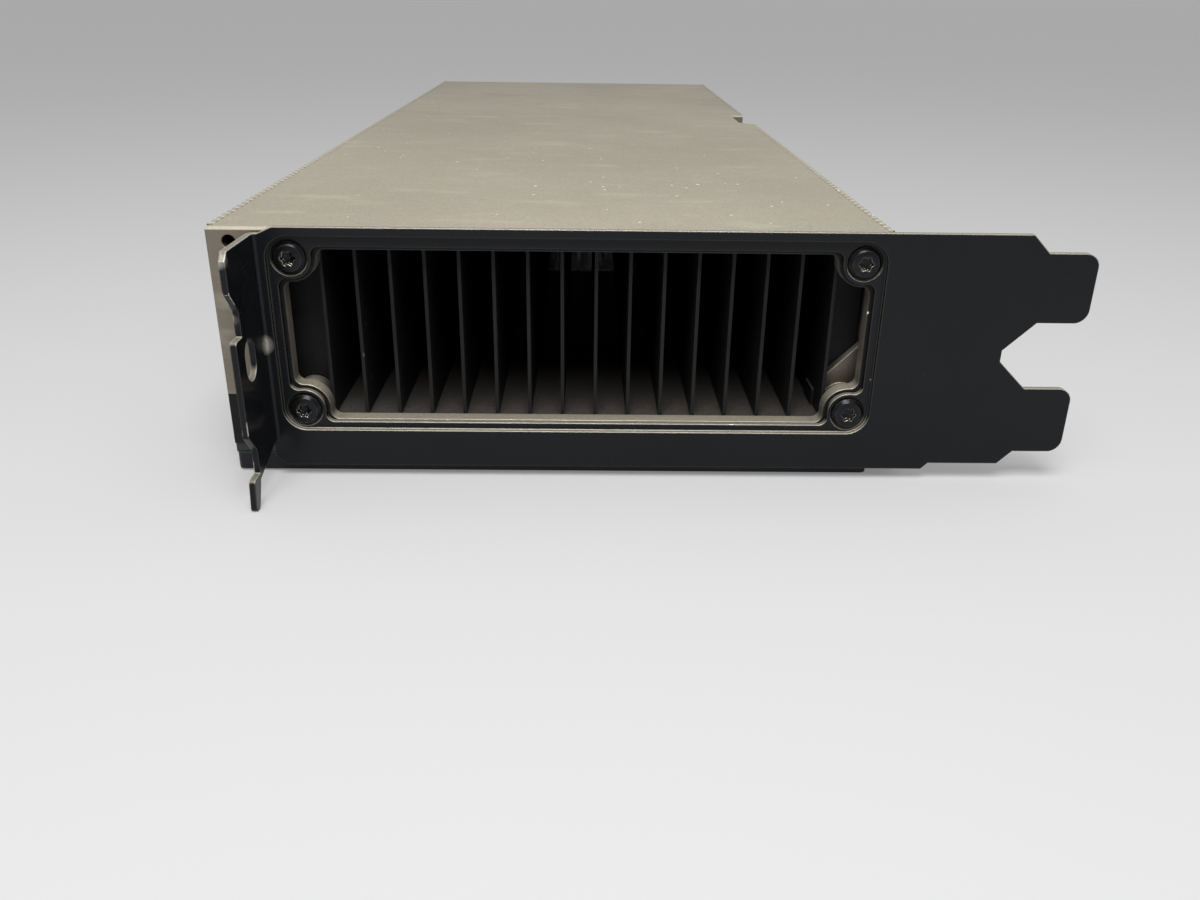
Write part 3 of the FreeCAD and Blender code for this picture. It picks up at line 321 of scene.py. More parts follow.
def window_land(tree, at):
    """A mask of the shroud's front face inside the box of the bracket's screws, where painted shade goes."""
    facing = add(tree, "SeparateXYZ", Vector=add(tree, "NewGeometry").outputs["Normal"]).outputs["Y"]
    low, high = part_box("bracket_screws")
    in_front = maths(tree, "LESS_THAN", at["Y"], shroud_low.y + LAND_DEPTH)
    land = product(tree, in_front, maths(tree, "LESS_THAN", facing, FACING_OUT))
    for axis, nearest, furthest in (("X", low.x, high.x), ("Z", low.z, high.z)):
        beyond = maths(tree, "GREATER_THAN", at[axis], nearest)
        before = maths(tree, "LESS_THAN", at[axis], furthest)
        land = product(tree, land, beyond, before)
    return land


# %% Shroud finish
BLAST_DEPTH = 0.02 * MM
SMUDGE_SIZE = 16 * MM
WIPE_SIZE = 5 * MM
ACROSS_CARD = (0.35, 1.0, 1.0)
ABOVE_TOP = 0.01 * MM


def champagne():
    """Blasted and anodised aluminium."""
    tree, surface = start("champagne_aluminium", grain=0.4 * MM, blotch=45 * MM, edge=0.3 * MM)
    place = object_place(tree)
    at = add(tree, "SeparateXYZ", Vector=place).outputs
    smudge = noise(tree, place, 1 / SMUDGE_SIZE, 5.0, 0.65)
    across = add(tree, "Mapping", Vector=place, Scale=ACROSS_CARD).outputs[0]
    wipe = noise(tree, across, 1 / WIPE_SIZE, 4.0)
    dust = spots(tree, 420.0, share=0.15, size=0.14)

    colour = blend(tree, span(tree, surface["Blotch"], 0.0, 1.0, 0.35, 0.65), CHAMPAGNE_DARK, CHAMPAGNE_LIGHT)
    # Painted shade: upright faces darker than the top.
    colour = blend(tree, surface["Up"], CHAMPAGNE_UPRIGHT_SHADE, colour)
    colour = blend(tree, span(tree, surface["Grain"], 0.0, 0.35, 0.3, 0.7), colour, BLAST_SHADE)
    colour = blend(tree, span(tree, smudge, 0.0, 0.28, 0.52, 0.72), colour, SMUDGE_TONE)
    colour = blend(tree, span(tree, wipe, 0.0, 0.3, 0.58, 0.72), colour, WIPE_TONE)
    # Painted shade in the corners, by how little sky they see.
    colour = blend(tree, product(tree, surface["Corner"], 0.8), colour, CORNER_PAINTED_SHADE)
    # Painted shade: the land round the air window nearly black.
    colour = blend(tree, window_land(tree, at), colour, LAND_PAINTED_SHADE)
    # Painted highlight on edges whose rounding faces up, over a faint bare line on every edge.
    glint = maths(tree, "ADD", product(tree, surface["Brow"], 0.55), product(tree, surface["Edge"], 0.1))
    below_scallops = maths(tree, "LESS_THAN", at["Z"], shroud_high.z + ABOVE_TOP)
    colour = blend(tree, product(tree, glint, below_scallops), colour, GLINT_AND_BARE_EDGE)
    colour = blend(tree, dust, colour, DUST_TONE)

    rough = maths(tree, "ADD", span(tree, smudge, 0.44, 0.54, 0.4, 0.65), product(tree, dust, 0.3))
    end(tree, surface, surface["Grain"], BLAST_DEPTH, Base_Color=colour, Metallic=0.5, Roughness=rough,
        Specular_IOR_Level=0.3)


champagne()
tell("champagne_aluminium")

# %% [markdown]
# ## Powder-coated bracket
# Folded steel under a satin black powder coat: the coat has a soft orange-peel ripple, thins out on
# the cut edges, and is chipped through to bright steel in a few places round the rim.  Its faces and
# edges that face up carry a painted highlight.  The flange is rubbed bare where the chassis and fingers
# touch it: at its outer corner, under its upper notch and at the foot of the finger hole.  The bend has
# one painted highlight, a soft bright spot.  Noise alone would put such marks anywhere, so these few
# places are named, each as a distance from the bracket's own box.

# %% Worn places of the bracket
BOARD_FROM_PLATE = 2 * MM
plate_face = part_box("circuit_board")[0].y - BOARD_FROM_PLATE
bracket_low, bracket_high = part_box("bracket")


def on_flange(out, down):
    """A point of the flange: so far out from the plate and so far below the bracket's top."""
    return Vector((bracket_low.x, plate_face - out, bracket_high.z - down))


def near(tree, place, point, reach):
    """A mask that is full at a point and gone a short way from it."""
    gap = add(tree, "VectorMath", {"operation": "DISTANCE"})
    plug(tree, gap.inputs[0], place)
    plug(tree, gap.inputs[1], point)
    return span(tree, gap.outputs["Value"], 1.0, 0.0, reach / 2, reach)


# Each place, and how far the wear reaches from it.
rubbed_bare = [
    (on_flange(out=11.7 * MM, down=2.0 * MM), 1.3 * MM),
    (on_flange(out=10.6 * MM, down=10.6 * MM), 1.5 * MM),
    (on_flange(out=7.0 * MM, down=17.4 * MM), 1.9 * MM),
]
# The bend's soft bright spot is a painted highlight, not wear.
bend_highlight_spot = on_flange(out=0.0, down=17.1 * MM) + Vector((0.5 * MM, 0.0, 0.0))
BEND_HIGHLIGHT_REACH = 1.7 * MM
print("worn places at", [[round(v / MM, 1) for v in point] for point, reach in rubbed_bare], "mm")

# %% Bare steel and the bend's painted highlight
RUB_SCALE = 0.22 / MM
FLANGE_START = 8 * MM


def bare_steel_and_bend_highlight(tree, surface):
    """Where the coat is gone: chips, rubbed edges of the flange, specks and the named places, and the bend's
    painted highlight.
    """
    place = object_place(tree)
    out_on_flange = maths(tree, "LESS_THAN", add(tree, "SeparateXYZ", Vector=place).outputs["Y"],
                          plate_face - FLANGE_START)
    rub = span(tree, noise(tree, place, RUB_SCALE, 2.0), 0.0, 1.0, 0.56, 0.6)
    rubbed = product(tree, rub, span(tree, surface["Edge"], 0.0, 1.0, 0.3, 0.8), out_on_flange)
    near_edge = maths(tree, "GREATER_THAN", surface["Edge"], 0.05)
    chips = product(tree, spots(tree, 900.0, share=0.02, size=0.35), near_edge)
    specks = product(tree, spots(tree, 260.0, share=0.06, size=0.045), 0.4)
    bright_marks = strongest(tree, chips, rubbed, specks)
    for point, reach in rubbed_bare:
        touched = product(tree, near(tree, place, point, reach), span(tree, surface["Edge"], 0.35, 1.0))
        bright_marks = strongest(tree, bright_marks, touched)
    # Painted highlight: a soft bright spot on the bend.
    bend_highlight = product(tree, near(tree, place, bend_highlight_spot, BEND_HIGHLIGHT_REACH), 0.4)
    return strongest(tree, bright_marks, bend_highlight)


# %% Bracket finish
COAT_DARK = rgb(0.004, 0.0045, 0.006)
COAT_LIGHT = rgb(0.008, 0.009, 0.011)
COAT_SCUFF_AND_HIGHLIGHT = rgb(0.45, 0.41, 0.33)
COAT_PAINTED_GLINT = rgb(0.85, 0.8, 0.66)
BARE_STEEL_AND_HIGHLIGHT = rgb(0.8, 0.76, 0.68)
PEEL_DEPTH = 0.008 * MM


def powder_coat():
    """Satin black powder coat with worn edges and painted highlights on faces and edges that face up."""
    tree, surface = start("bracket_black", grain=0.6 * MM, blotch=22 * MM, edge=0.3 * MM)
    # Upward faces get a painted highlight; edges get a thinner coat.
    thin_coat_and_highlight = maths(tree, "ADD", product(tree, surface["Edge"], 0.12), product(tree, surface["Up"], 0.55))
    # Bare steel and the bend's painted highlight, painted in one pale tone.
    bright_marks = bare_steel_and_bend_highlight(tree, surface)
    colour = blend(tree, surface["Blotch"], COAT_DARK, COAT_LIGHT)
    colour = blend(tree, thin_coat_and_highlight, colour, COAT_SCUFF_AND_HIGHLIGHT)
    # Painted highlight on edges whose rounding faces up.
    colour = blend(tree, product(tree, surface["Brow"], 0.85), colour, COAT_PAINTED_GLINT)
    colour = blend(tree, bright_marks, colour, BARE_STEEL_AND_HIGHLIGHT)
    rough = maths(tree, "ADD", span(tree, surface["Blotch"], 0.2, 0.28, 0.3, 0.7),
                  product(tree, surface["Grain"], 0.05))
    metal = strongest(tree, bright_marks, product(tree, thin_coat_and_highlight, 0.5))
    end(tree, surface, surface["Grain"], PEEL_DEPTH, Base_Color=colour, Metallic=metal, Roughness=rough,
        Specular_IOR_Level=0.22)


powder_coat()
tell("bracket_black")

# %% [markdown]
# ## Black castings and sheet
# The midframe and the backplate are black anodised: flatter than the bracket's coat, with the coarse
# tooth of a casting and a brown-grey bloom where air-borne dust has settled.  The bloom needs no
# drawing: it lies on whatever faces up.

# %% Black anodised finishes
ANODISED_EDGE = rgb(0.07, 0.073, 0.078)
SETTLED_DUST = rgb(0.1, 0.088, 0.077)
LINT = rgb(0.09, 0.088, 0.083)


def black_anodised(slot, grain, depth, dark, light, mean_rough):
    """Matt black anodised metal."""
    tree, surface = start(slot, grain, blotch=14 * MM, edge=0.25 * MM)
    colour = blend(tree, span(tree, surface["Blotch"], 0.0, 1.0, 0.3, 0.7), dark, light)
    colour = blend(tree, product(tree, surface["Edge"], 0.25), colour, ANODISED_EDGE)
    colour = blend(tree, product(tree, surface["Up"], surface["Grain"]), colour, SETTLED_DUST)
    colour = blend(tree, spots(tree, 330.0, share=0.04, size=0.14), colour, LINT)
    rough = span(tree, surface["Grain"], mean_rough - 0.07, mean_rough + 0.09, 0.3, 0.7)
    end(tree, surface, surface["Grain"], depth, Base_Color=colour, Metallic=0.0, Roughness=rough,
        Specular_IOR_Level=0.2)


black_anodised("cast_black", 0.35 * MM, 0.03 * MM, rgb(0.006, 0.0063, 0.007), rgb(0.014, 0.0145, 0.016),
               mean_rough=0.5)
black_anodised("backplate_black", 0.2 * MM, 0.01 * MM, rgb(0.012, 0.0125, 0.014), rgb(0.024, 0.025, 0.028),
               mean_rough=0.42)
tell("cast_black", "backplate_black")

# %% [markdown]
# ## Bare and plated metals
# Fins are rolled strip, the vapour chamber and the springs are nickel plated, and the contacts are
# hard gold with the fine drag lines that a socket leaves.  All share one recipe: noise that is
# stretched along one direction of the card gives the lines.  The screws are steel with a black oxide
# that hands and drivers have polished on the rims.

# %% Rolled and plated finishes
POLISHED_EDGE = rgb(0.9, 0.88, 0.82)
LINE_DEPTH = 0.004 * MM
ALONG_LINES = (1.0, 0.05, 1.0)
ACROSS_LINES = (0.05, 1.0, 1.0)


def drawn_metal(slot, dark, light, mean_rough, stretch):
    """Metal with drawn or rolled lines along one direction of the card."""
    tree, surface = start(slot, grain=0.2 * MM, blotch=9 * MM, edge=0.08 * MM)
    long = add(tree, "Mapping", Vector=object_place(tree), Scale=stretch).outputs[0]
    lines = noise(tree, long, 1 / MM, 3.0)
    colour = blend(tree, span(tree, surface["Blotch"], 0.0, 1.0, 0.3, 0.7), dark, light)
    colour = blend(tree, product(tree, surface["Edge"], 0.5), colour, POLISHED_EDGE)
    rough = span(tree, lines, mean_rough - 0.08, mean_rough + 0.12, 0.3, 0.7)
    end(tree, surface, lines, LINE_DEPTH, Base_Color=colour, Metallic=1.0, Roughness=rough)


drawn_metal("fin_metal", rgb(0.36, 0.365, 0.38), rgb(0.5, 0.505, 0.52), 0.34, ALONG_LINES)
drawn_metal("chamber_metal", rgb(0.5, 0.49, 0.47), rgb(0.62, 0.61, 0.58), 0.3, ALONG_LINES)
drawn_metal("steel_nickel", rgb(0.5, 0.49, 0.46), rgb(0.62, 0.6, 0.56), 0.26, ACROSS_LINES)
drawn_metal("gold", rgb(0.72, 0.49, 0.2), rgb(0.85, 0.6, 0.27), 0.24, ACROSS_LINES)
tell("fin_metal", "chamber_metal", "steel_nickel", "gold")

# %% Screw finish
OXIDE_DARK = rgb(0.008, 0.0085, 0.01)
OXIDE_LIGHT = rgb(0.02, 0.021, 0.024)
OXIDE_RUBBED_AND_GLINT = rgb(0.78, 0.73, 0.6)
OXIDE_DEPTH = 0.006 * MM


def oxide_screw():
    """Black oxide steel, polished on its rims, with a painted highlight wherever an edge faces up."""
    tree, surface = start("screw_black", grain=0.15 * MM, blotch=2 * MM, edge=0.16 * MM)
    rub = product(tree, surface["Edge"], span(tree, surface["Blotch"], 0.25, 0.8, 0.35, 0.65))
    colour = blend(tree, surface["Blotch"], OXIDE_DARK, OXIDE_LIGHT)
    # Rubbed rims, and a painted highlight on edges that face up.
    colour = blend(tree, strongest(tree, rub, surface["Brow"]), colour, OXIDE_RUBBED_AND_GLINT)
    rough = span(tree, surface["Grain"], 0.18, 0.3, 0.3, 0.7)
    end(tree, surface, surface["Grain"], OXIDE_DEPTH, Base_Color=colour, Metallic=0.75, Roughness=rough)


oxide_screw()
tell("screw_black")

# %% [markdown]
# ## Board, packages and soft parts
# The board's dark mask lies over copper, so it shows faint straight tracks: the edges of square
# Voronoi cells, stretched along the card, stand in for a drawn layout.  Chips are moulded epoxy, the
# processor's die and memory are polished silicon, and pads, paste and caps are soft and dull.

# %% Board finish
MASK_DARK = rgb(0.008, 0.022, 0.014)
MASK_LIGHT = rgb(0.014, 0.034, 0.022)
TRACK_TONE = rgb(0.03, 0.07, 0.045)
TRACK_STRETCH = (0.12, 1.0, 1.0)
TRACK_SCALE = 0.8 / MM
TRACK_DEPTH = 0.01 * MM


def laminate():
    """Glass-fibre board with a dark mask over its tracks."""
    tree, surface = start("laminate", grain=0.3 * MM, blotch=12 * MM, edge=0.1 * MM)
    wide = add(tree, "Mapping", Vector=object_place(tree), Scale=TRACK_STRETCH).outputs[0]
    cells = add(tree, "TexVoronoi", {"distance": "CHEBYCHEV"}, Vector=wide, Scale=TRACK_SCALE)
    track = span(tree, cells.outputs["Distance"], 1.0, 0.0, 0.18, 0.24)
    colour = blend(tree, surface["Blotch"], MASK_DARK, MASK_LIGHT)
    colour = blend(tree, product(tree, track, 0.5), colour, TRACK_TONE)
    rough = span(tree, surface["Grain"], 0.28, 0.42, 0.3, 0.7)
    end(tree, surface, maths(tree, "ADD", track, surface["Grain"]), TRACK_DEPTH, Base_Color=colour,
        Roughness=rough)


laminate()
tell("laminate")


# %% Moulded and soft finishes
def dull(slot, dark, light, mean_rough, grain, depth):
    """A plain moulded or soft material with its own grain."""
    tree, surface = start(slot, grain, blotch=6 * MM, edge=0.12 * MM)
    colour = blend(tree, span(tree, surface["Blotch"], 0.0, 1.0, 0.3, 0.7), dark, light)
    colour = blend(tree, product(tree, surface["Edge"], 0.3), colour, light)
    rough = span(tree, surface["Grain"], mean_rough - 0.08, mean_rough + 0.08, 0.3, 0.7)
    end(tree, surface, surface["Grain"], depth, Base_Color=colour, Roughness=rough)


dull("package_green", rgb(0.03, 0.1, 0.045), rgb(0.06, 0.15, 0.075), 0.4, 0.2 * MM, 0.006 * MM)
dull("silicon", rgb(0.09, 0.09, 0.11), rgb(0.15, 0.15, 0.18), 0.16, 0.4 * MM, 0.001 * MM)
dull("paste_grey", rgb(0.42, 0.42, 0.43), rgb(0.55, 0.55, 0.56), 0.62, 0.3 * MM, 0.03 * MM)
dull("chip_black", rgb(0.015, 0.015, 0.017), rgb(0.035, 0.035, 0.038), 0.5, 0.12 * MM, 0.01 * MM)
dull("pad_pink", rgb(0.52, 0.3, 0.33), rgb(0.62, 0.4, 0.43), 0.7, 0.25 * MM, 0.03 * MM)
dull("cap_rubber", rgb(0.012, 0.012, 0.013), rgb(0.03, 0.03, 0.032), 0.6, 0.2 * MM, 0.02 * MM)
dull("inlet_plastic", rgb(0.014, 0.014, 0.015), rgb(0.03, 0.03, 0.032), 0.45, 0.15 * MM, 0.012 * MM)
print("all", len(finish), "finishes:", sorted(finish))

# %% [markdown]
# ## Dressing the CAD pieces
# Each piece could be given its finish by name here.  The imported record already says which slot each
# piece takes its finish from, so it is read from there and the two never drift apart.

# %% Finishes on the CAD nodes
slot_of = {part["node"]: part["material_slot"] for part in frame["record"]["subparts"]}
for node, slot in slot_of.items():
    shown = frame["nodes"][node]
    shown.data.materials.clear()
    shown.data.materials.append(finish[slot])
print("dressed", len(slot_of), "CAD pieces")

# %% [markdown]
# ## Places of the fasteners
# The CAD model has plain studs where the screws go, several in one node.  A row of typed places would
# go stale, so each stud is found in the node's own mesh: points that hang together by edges are one
# solid, and its box says where the screw goes and how large it is.


# %% Solids of a node
def solids(node):
    """The box of each separate solid in a CAD node, in order."""
    shape = bmesh.new()
    shape.from_mesh(frame["nodes"][node].data)
    bmesh.ops.remove_doubles(shape, verts=shape.verts, dist=0.001 * MM)
    left = set(shape.verts)
    boxes = []
    while left:
        island = [left.pop()]
        for vert in island:
            for edge in vert.link_edges:
                other = edge.other_vert(vert)
                if other in left:
                    left.discard(other)
                    island.append(other)
        low = Vector(min(v.co[i] for v in island) for i in range(3))
        high = Vector(max(v.co[i] for v in island) for i in range(3))
        boxes.append((low, high))
    shape.free()
    return sorted(boxes, key=lambda pair: tuple(round(c, 5) for c in pair[0]))


for name in ("bracket_screws", "shroud_screws", "backplate_screws", "retention_screws"):
    print(name, len(solids(name)), "places")


# %% A finished piece
def piece(name, shape, slot):
    """A finished mesh as an object of the scene that rides with the card."""
    mesh = bpy.data.meshes.new(name)
    shape.to_mesh(mesh)
    shape.free()
    made = bpy.data.objects.new(name, mesh)
    bpy.context.scene.collection.objects.link(made)
    mesh.materials.append(finish[slot])
    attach(made, "root")
    return made


# %% [markdown]
# ## Turned screws
# A real screw is turned and then gets its six-lobed socket pressed in.  A cylinder with the socket cut
# out would need a boolean, which leaves ragged faces.  So one ring of points is pulled out again and
# again: round the shank and the head, over the crown, and down into the socket, where the ring is
# pressed into six lobes.

# %% Pulling a ring out
RING = 48
LOBES = 6


def pull_rings(shape, profile):
    """A ring of points pulled through a profile of (radius, height, lobe depth)."""
    made = bmesh.ops.create_circle(shape, cap_ends=False, radius=1.0, segments=RING)
    verts = made["verts"]
    edges = list({edge for vert in verts for edge in vert.link_edges})
    for step, (radius, height, lobe) in enumerate(profile):
        if step:
            verts, edges = pull(shape, edges)
        for vert in verts:
            angle = math.atan2(vert.co.y, vert.co.x)
            reach = radius + lobe * math.cos(LOBES * angle)
            vert.co = Vector((reach * math.cos(angle), reach * math.sin(angle), height))
    bmesh.ops.contextual_create(shape, geom=edges)


def pull(shape, edges):
    """A ring of edges pulled out once: the new ring's points and edges, still lying on the old."""
    grown = bmesh.ops.extrude_edge_only(shape, edges=edges)["geom"]
    verts = [item for item in grown if isinstance(item, bmesh.types.BMVert)]
    rim = [item for item in grown if isinstance(item, bmesh.types.BMEdge)
           and item.verts[0] in verts and item.verts[1] in verts]
    return verts, rim


# %% A set of screws
def screw_piece(name, node, outward, profile):
    """All the screws of one CAD node as one piece, each standing on its head's outer face."""
    shape = bmesh.new()
    for low, high in solids(node):
        single = bmesh.new()
        pull_rings(single, profile)
        centre = (low + high) / 2
        direction = outward(centre)
        axis = max(range(3), key=lambda i: abs(direction[i]))
        centre[axis] = high[axis] if direction[axis] > 0 else low[axis]
        turn = direction.to_track_quat("Z", "Y").to_matrix().to_4x4()
        bmesh.ops.transform(single, matrix=Matrix.Translation(centre) @ turn, verts=single.verts)
        mesh = bpy.data.meshes.new("single")
        single.to_mesh(mesh)
        single.free()
        shape.from_mesh(mesh)
        bpy.data.meshes.remove(mesh)
    bmesh.ops.recalc_face_normals(shape, faces=shape.faces)
    return piece(name, shape, slot_of[node])


# %% [markdown]
# ### Bracket screws
# The four pan screws hold the bracket to the shroud through the pads at the window's corners.  The
# crown is a shallow dome with a rolled rim, so its profile drops away in ever steeper steps.

# %% Bracket screws
PAN_SHANK = 1.5 * MM
PAN_REACH = 6.6 * MM
PAN_HEAD = 2.35 * MM
PAN_HEIGHT = 1.15 * MM
PAN_SOCKET = 0.98 * MM
PAN_LOBE = 0.15 * MM
pan_profile = [
    (PAN_SHANK, -PAN_REACH, 0),
    (PAN_SHANK, -PAN_HEIGHT, 0),
    (PAN_HEAD, -PAN_HEIGHT, 0),
    (PAN_HEAD, -0.6 * MM, 0),
    (PAN_HEAD - 0.08 * MM, -0.5 * MM, 0),
    (PAN_HEAD - 0.4 * MM, -0.14 * MM, 0),
    (PAN_HEAD - 0.5 * MM, -0.08 * MM, 0),
    (PAN_HEAD - 0.9 * MM, -0.02 * MM, 0),
    (PAN_SOCKET + PAN_LOBE + 0.12 * MM, 0, 0),
    (PAN_SOCKET, -0.02 * MM, PAN_LOBE),
    (PAN_SOCKET - 0.05 * MM, -0.1 * MM, PAN_LOBE),
    (PAN_SOCKET - 0.08 * MM, -0.75 * MM, PAN_LOBE),
    (0.3 * MM, -0.9 * MM, 0),
]
pan = screw_piece("bracket_pan_screws", "bracket_screws", lambda c: Vector((0, -1, 0)), pan_profile)
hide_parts("bracket_screws")
print("pan screws:", len(pan.data.polygons), "faces")

# %% [markdown]
# ### Sunk screws
# The shroud's side screws and the backplate's screws are countersunk: their heads end flush with the
# face and show only a narrow ring and the socket.  Every ring is a share of the head, so one profile
# serves all sizes.


# %% Profile of a sunk screw
def sunk_profile(head, shank, length):
    """Rings of a countersunk screw from its tip to its socket's floor."""
    lobe = 0.11 * head
    socket = 0.46 * head
    return [
        (shank * 0.7, -length, 0),
        (shank, -length + shank, 0),
        (shank, -0.5 * head, 0),
        (head * 0.97, -0.04 * head, 0),
        (head * 0.95, 0, 0),
        (socket + 2 * lobe, 0, 0),
        (socket, 0, lobe),
        (socket * 0.96, -0.05 * head, lobe),
        (socket * 0.94, -0.4 * head, lobe),
        (0.2 * head, -0.45 * head, 0),
    ]


# %% Side and backplate screws
SIDE_SHANK = 0.9 * MM
BACK_SHANK = 1.1 * MM
middle = (shroud_low + shroud_high) / 2


def towards_side(centre):
    """Out of the nearer long side."""
    return Vector((1 if centre.x > middle.x else -1, 0, 0))


def downwards(centre):
    """Out of the card's underside."""
    return Vector((0, 0, -1))


low, high = solids("shroud_screws")[0]
side_profile = sunk_profile((high.z - low.z) / 2, SIDE_SHANK, high.x - low.x)
side = screw_piece("shroud_side_screws", "shroud_screws", towards_side, side_profile)
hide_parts("shroud_screws")

low, high = solids("backplate_screws")[0]
back_profile = sunk_profile((high.x - low.x) / 2, BACK_SHANK, high.z - low.z)
back = screw_piece("backplate_sunk_screws", "backplate_screws", downwards, back_profile)
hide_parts("backplate_screws")
print("sunk screws:", len(side.data.polygons), "and", len(back.data.polygons), "faces")

# %% [markdown]
# ## Springs and their screws
# The processor's four screws pull against springs.  The CAD model has plain sleeves there; here each
# is a real coil, a small disc of wire spun round its axis and lifted a little at every step.  A curve
# with a round profile would do too, but it would leave a curve where a mesh is wanted.

# %% Springs
WIRE = 0.28 * MM
WIRE_SIDES = 8
TURNS = 4
STEPS_PER_TURN = 20


def coil(shape, low, high):
    """One helical spring that fills a box."""
    centre = (low + high) / 2
    reach = (high.x - low.x) / 2 - WIRE
    rise = high.z - low.z - 2 * WIRE
    made = bmesh.ops.create_circle(shape, cap_ends=True, radius=WIRE, segments=WIRE_SIDES)
    start_at = Matrix.Translation((centre.x + reach, centre.y, low.z + WIRE))
    upright = start_at @ Matrix.Rotation(math.pi / 2, 4, "X")
    bmesh.ops.transform(shape, matrix=upright, verts=made["verts"])
    faces = list({face for vert in made["verts"] for face in vert.link_faces})
    steps = TURNS * STEPS_PER_TURN
    bmesh.ops.spin(shape, geom=faces, cent=centre, axis=(0, 0, 1), dvec=(0, 0, rise / steps),
                   angle=math.tau * TURNS, steps=steps)


shape = bmesh.new()
for low, high in solids("retention_springs"):
    coil(shape, low, high)
bmesh.ops.recalc_face_normals(shape, faces=shape.faces)
springs = piece("retention_coils", shape, slot_of["retention_springs"])
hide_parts("retention_springs")
print("springs:", len(springs.data.polygons), "faces")

# %% Retention screws
RETENTION_SHANK = 1.25 * MM
low, high = solids("retention_screws")[0]
retention_profile = sunk_profile((high.x - low.x) / 2, RETENTION_SHANK, high.z - low.z)
retention = screw_piece("retention_socket_screws", "retention_screws", downwards, retention_profile)
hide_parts("retention_screws")
print("retention screws:", len(retention.data.polygons), "faces")

# %% [markdown]
# ## Scalloped edges
# A row of small pressed scallops runs along the shroud's two long top edges.  They could be cut into
# the shroud, but the CAD pieces stay as they are, so each row is one narrow ribbon on top.  Its section
# is a triangle of foot, crest and lip, and the crest rises and falls along the edge.  Where the edge
# is cut away, a ray finds no metal and the ribbon stops.

# %% Unbroken runs of an edge
SCALLOP_PITCH = 2.27 * MM
SCALLOP_RISE = 0.25 * MM
SCALLOP_WIDTH = 0.9 * MM
STEPS_PER_SCALLOP = 8
RAY_START = 1.0 * MM
RAY_LENGTH = 1.2 * MM


def edge_runs(x, inward, top, start_y, end_y):
    """The places along one long edge that have metal under them, in unbroken runs."""
    body = frame["nodes"]["shroud"]
    step = SCALLOP_PITCH / STEPS_PER_SCALLOP
    runs = [[]]
    for i in range(int((end_y - start_y) / step)):
        y = start_y + i * step
        spot = Vector((x + inward * SCALLOP_WIDTH / 4, y, top + RAY_START))
        found = body.ray_cast(spot, Vector((0, 0, -1)), distance=RAY_LENGTH)[0]
        if found:
            runs[-1].append(y)
        elif runs[-1]:
            runs.append([])
    return [run for run in runs if len(run) > STEPS_PER_SCALLOP]


# %% Scallops
# How far each corner of the ribbon's section lies in from the edge, and how far below the top.
FOOT_SINK = 0.02 * MM
CREST_INSET = 0.12 * MM
LIP_INSET = 0.02 * MM
LIP_DROP = 0.05 * MM


def ribbon(shape, x, inward, top, run):
    """One run of scallops: rows of foot, crest and lip joined along the edge, closed at both ends."""
    rows = []
    for y in run:
        rise = SCALLOP_RISE * (0.5 + 0.5 * math.sin(math.tau * y / SCALLOP_PITCH))
        rows.append([
            shape.verts.new((x + inward * SCALLOP_WIDTH, y, top - FOOT_SINK)),
            shape.verts.new((x + inward * CREST_INSET, y, top + rise)),
            shape.verts.new((x + inward * LIP_INSET, y, top - LIP_DROP)),
        ])
    for first, second in zip(rows, rows[1:]):
        for i in range(2):
            shape.faces.new((first[i], second[i], second[i + 1], first[i + 1]))
        shape.faces.new((first[0], first[2], second[2], second[0]))
    for row in (rows[0], rows[-1]):
        shape.faces.new(row)


END_GAP = 1.0 * MM
shape = bmesh.new()
for x, inward in ((shroud_low.x, 1), (shroud_high.x, -1)):
    for run in edge_runs(x, inward, shroud_high.z, shroud_low.y + END_GAP, shroud_high.y - END_GAP):
        ribbon(shape, x, inward, shroud_high.z, run)
        print("scallops:", round(run[0] / MM, 1), "to", round(run[-1] / MM, 1), "mm")
bmesh.ops.recalc_face_normals(shape, faces=shape.faces)
scallops = piece("shroud_scallops", shape, slot_of["shroud"])
print("scallops:", len(scallops.data.polygons), "faces")

# %% [markdown]
# ## Floor and sky
# The card lies on a wide pale floor under an even sky that is brighter overhead than at the horizon.
# More light would make the floor pale but would also bleach the card.  So the floor glows a little,
# and one pale tone stands in for the sky beyond it, but only for the rays that show the stage itself.


# %% Rays that show the stage
def seen_rays(tree):
    """1 for the rays that show the stage itself, straight or in a shiny or clear surface."""
    rays = add(tree, "LightPath").outputs
    return strongest(tree, rays["Is Camera Ray"], rays["Is Glossy Ray"], rays["Is Transmission Ray"])


# %% Floor finish
FLOOR_TONE = rgb(0.45, 0.45, 0.45)
FLOOR_GLOW = 0.2
WHITE = rgb(1.0, 1.0, 1.0)


def pale_floor():
    """A diffuse floor with a faint glow that lights nothing."""
    material = bpy.data.materials.new("floor_pale")
    material.use_nodes = True
    tree = material.node_tree
    tree.nodes.clear()
    sheet = add(tree, "BsdfDiffuse", Color=FLOOR_TONE)
    glow = add(tree, "Emission", Color=WHITE, Strength=FLOOR_GLOW)
    glowing = add(tree, "AddShader")
    tree.links.new(sheet.outputs[0], glowing.inputs[0])
    tree.links.new(glow.outputs[0], glowing.inputs[1])
    choice = add(tree, "MixShader", Fac=seen_rays(tree))
    tree.links.new(sheet.outputs[0], choice.inputs[1])
    tree.links.new(glowing.outputs[0], choice.inputs[2])
    tree.links.new(choice.outputs[0], add(tree, "OutputMaterial").inputs[0])
    return material


# %% Floor
FLOOR_REACH = 12.0
shape = bmesh.new()
bmesh.ops.create_grid(shape, x_segments=2, y_segments=2, size=FLOOR_REACH)
bmesh.ops.translate(shape, verts=shape.verts, vec=(0, 0, cad_box[0].z))
mesh = bpy.data.meshes.new("floor")
shape.to_mesh(mesh)
shape.free()
mesh.materials.append(pale_floor())
floor = bpy.data.objects.new("floor", mesh)
bpy.context.scene.collection.objects.link(floor)
print("floor at", round(cad_box[0].z / MM, 2), "mm")

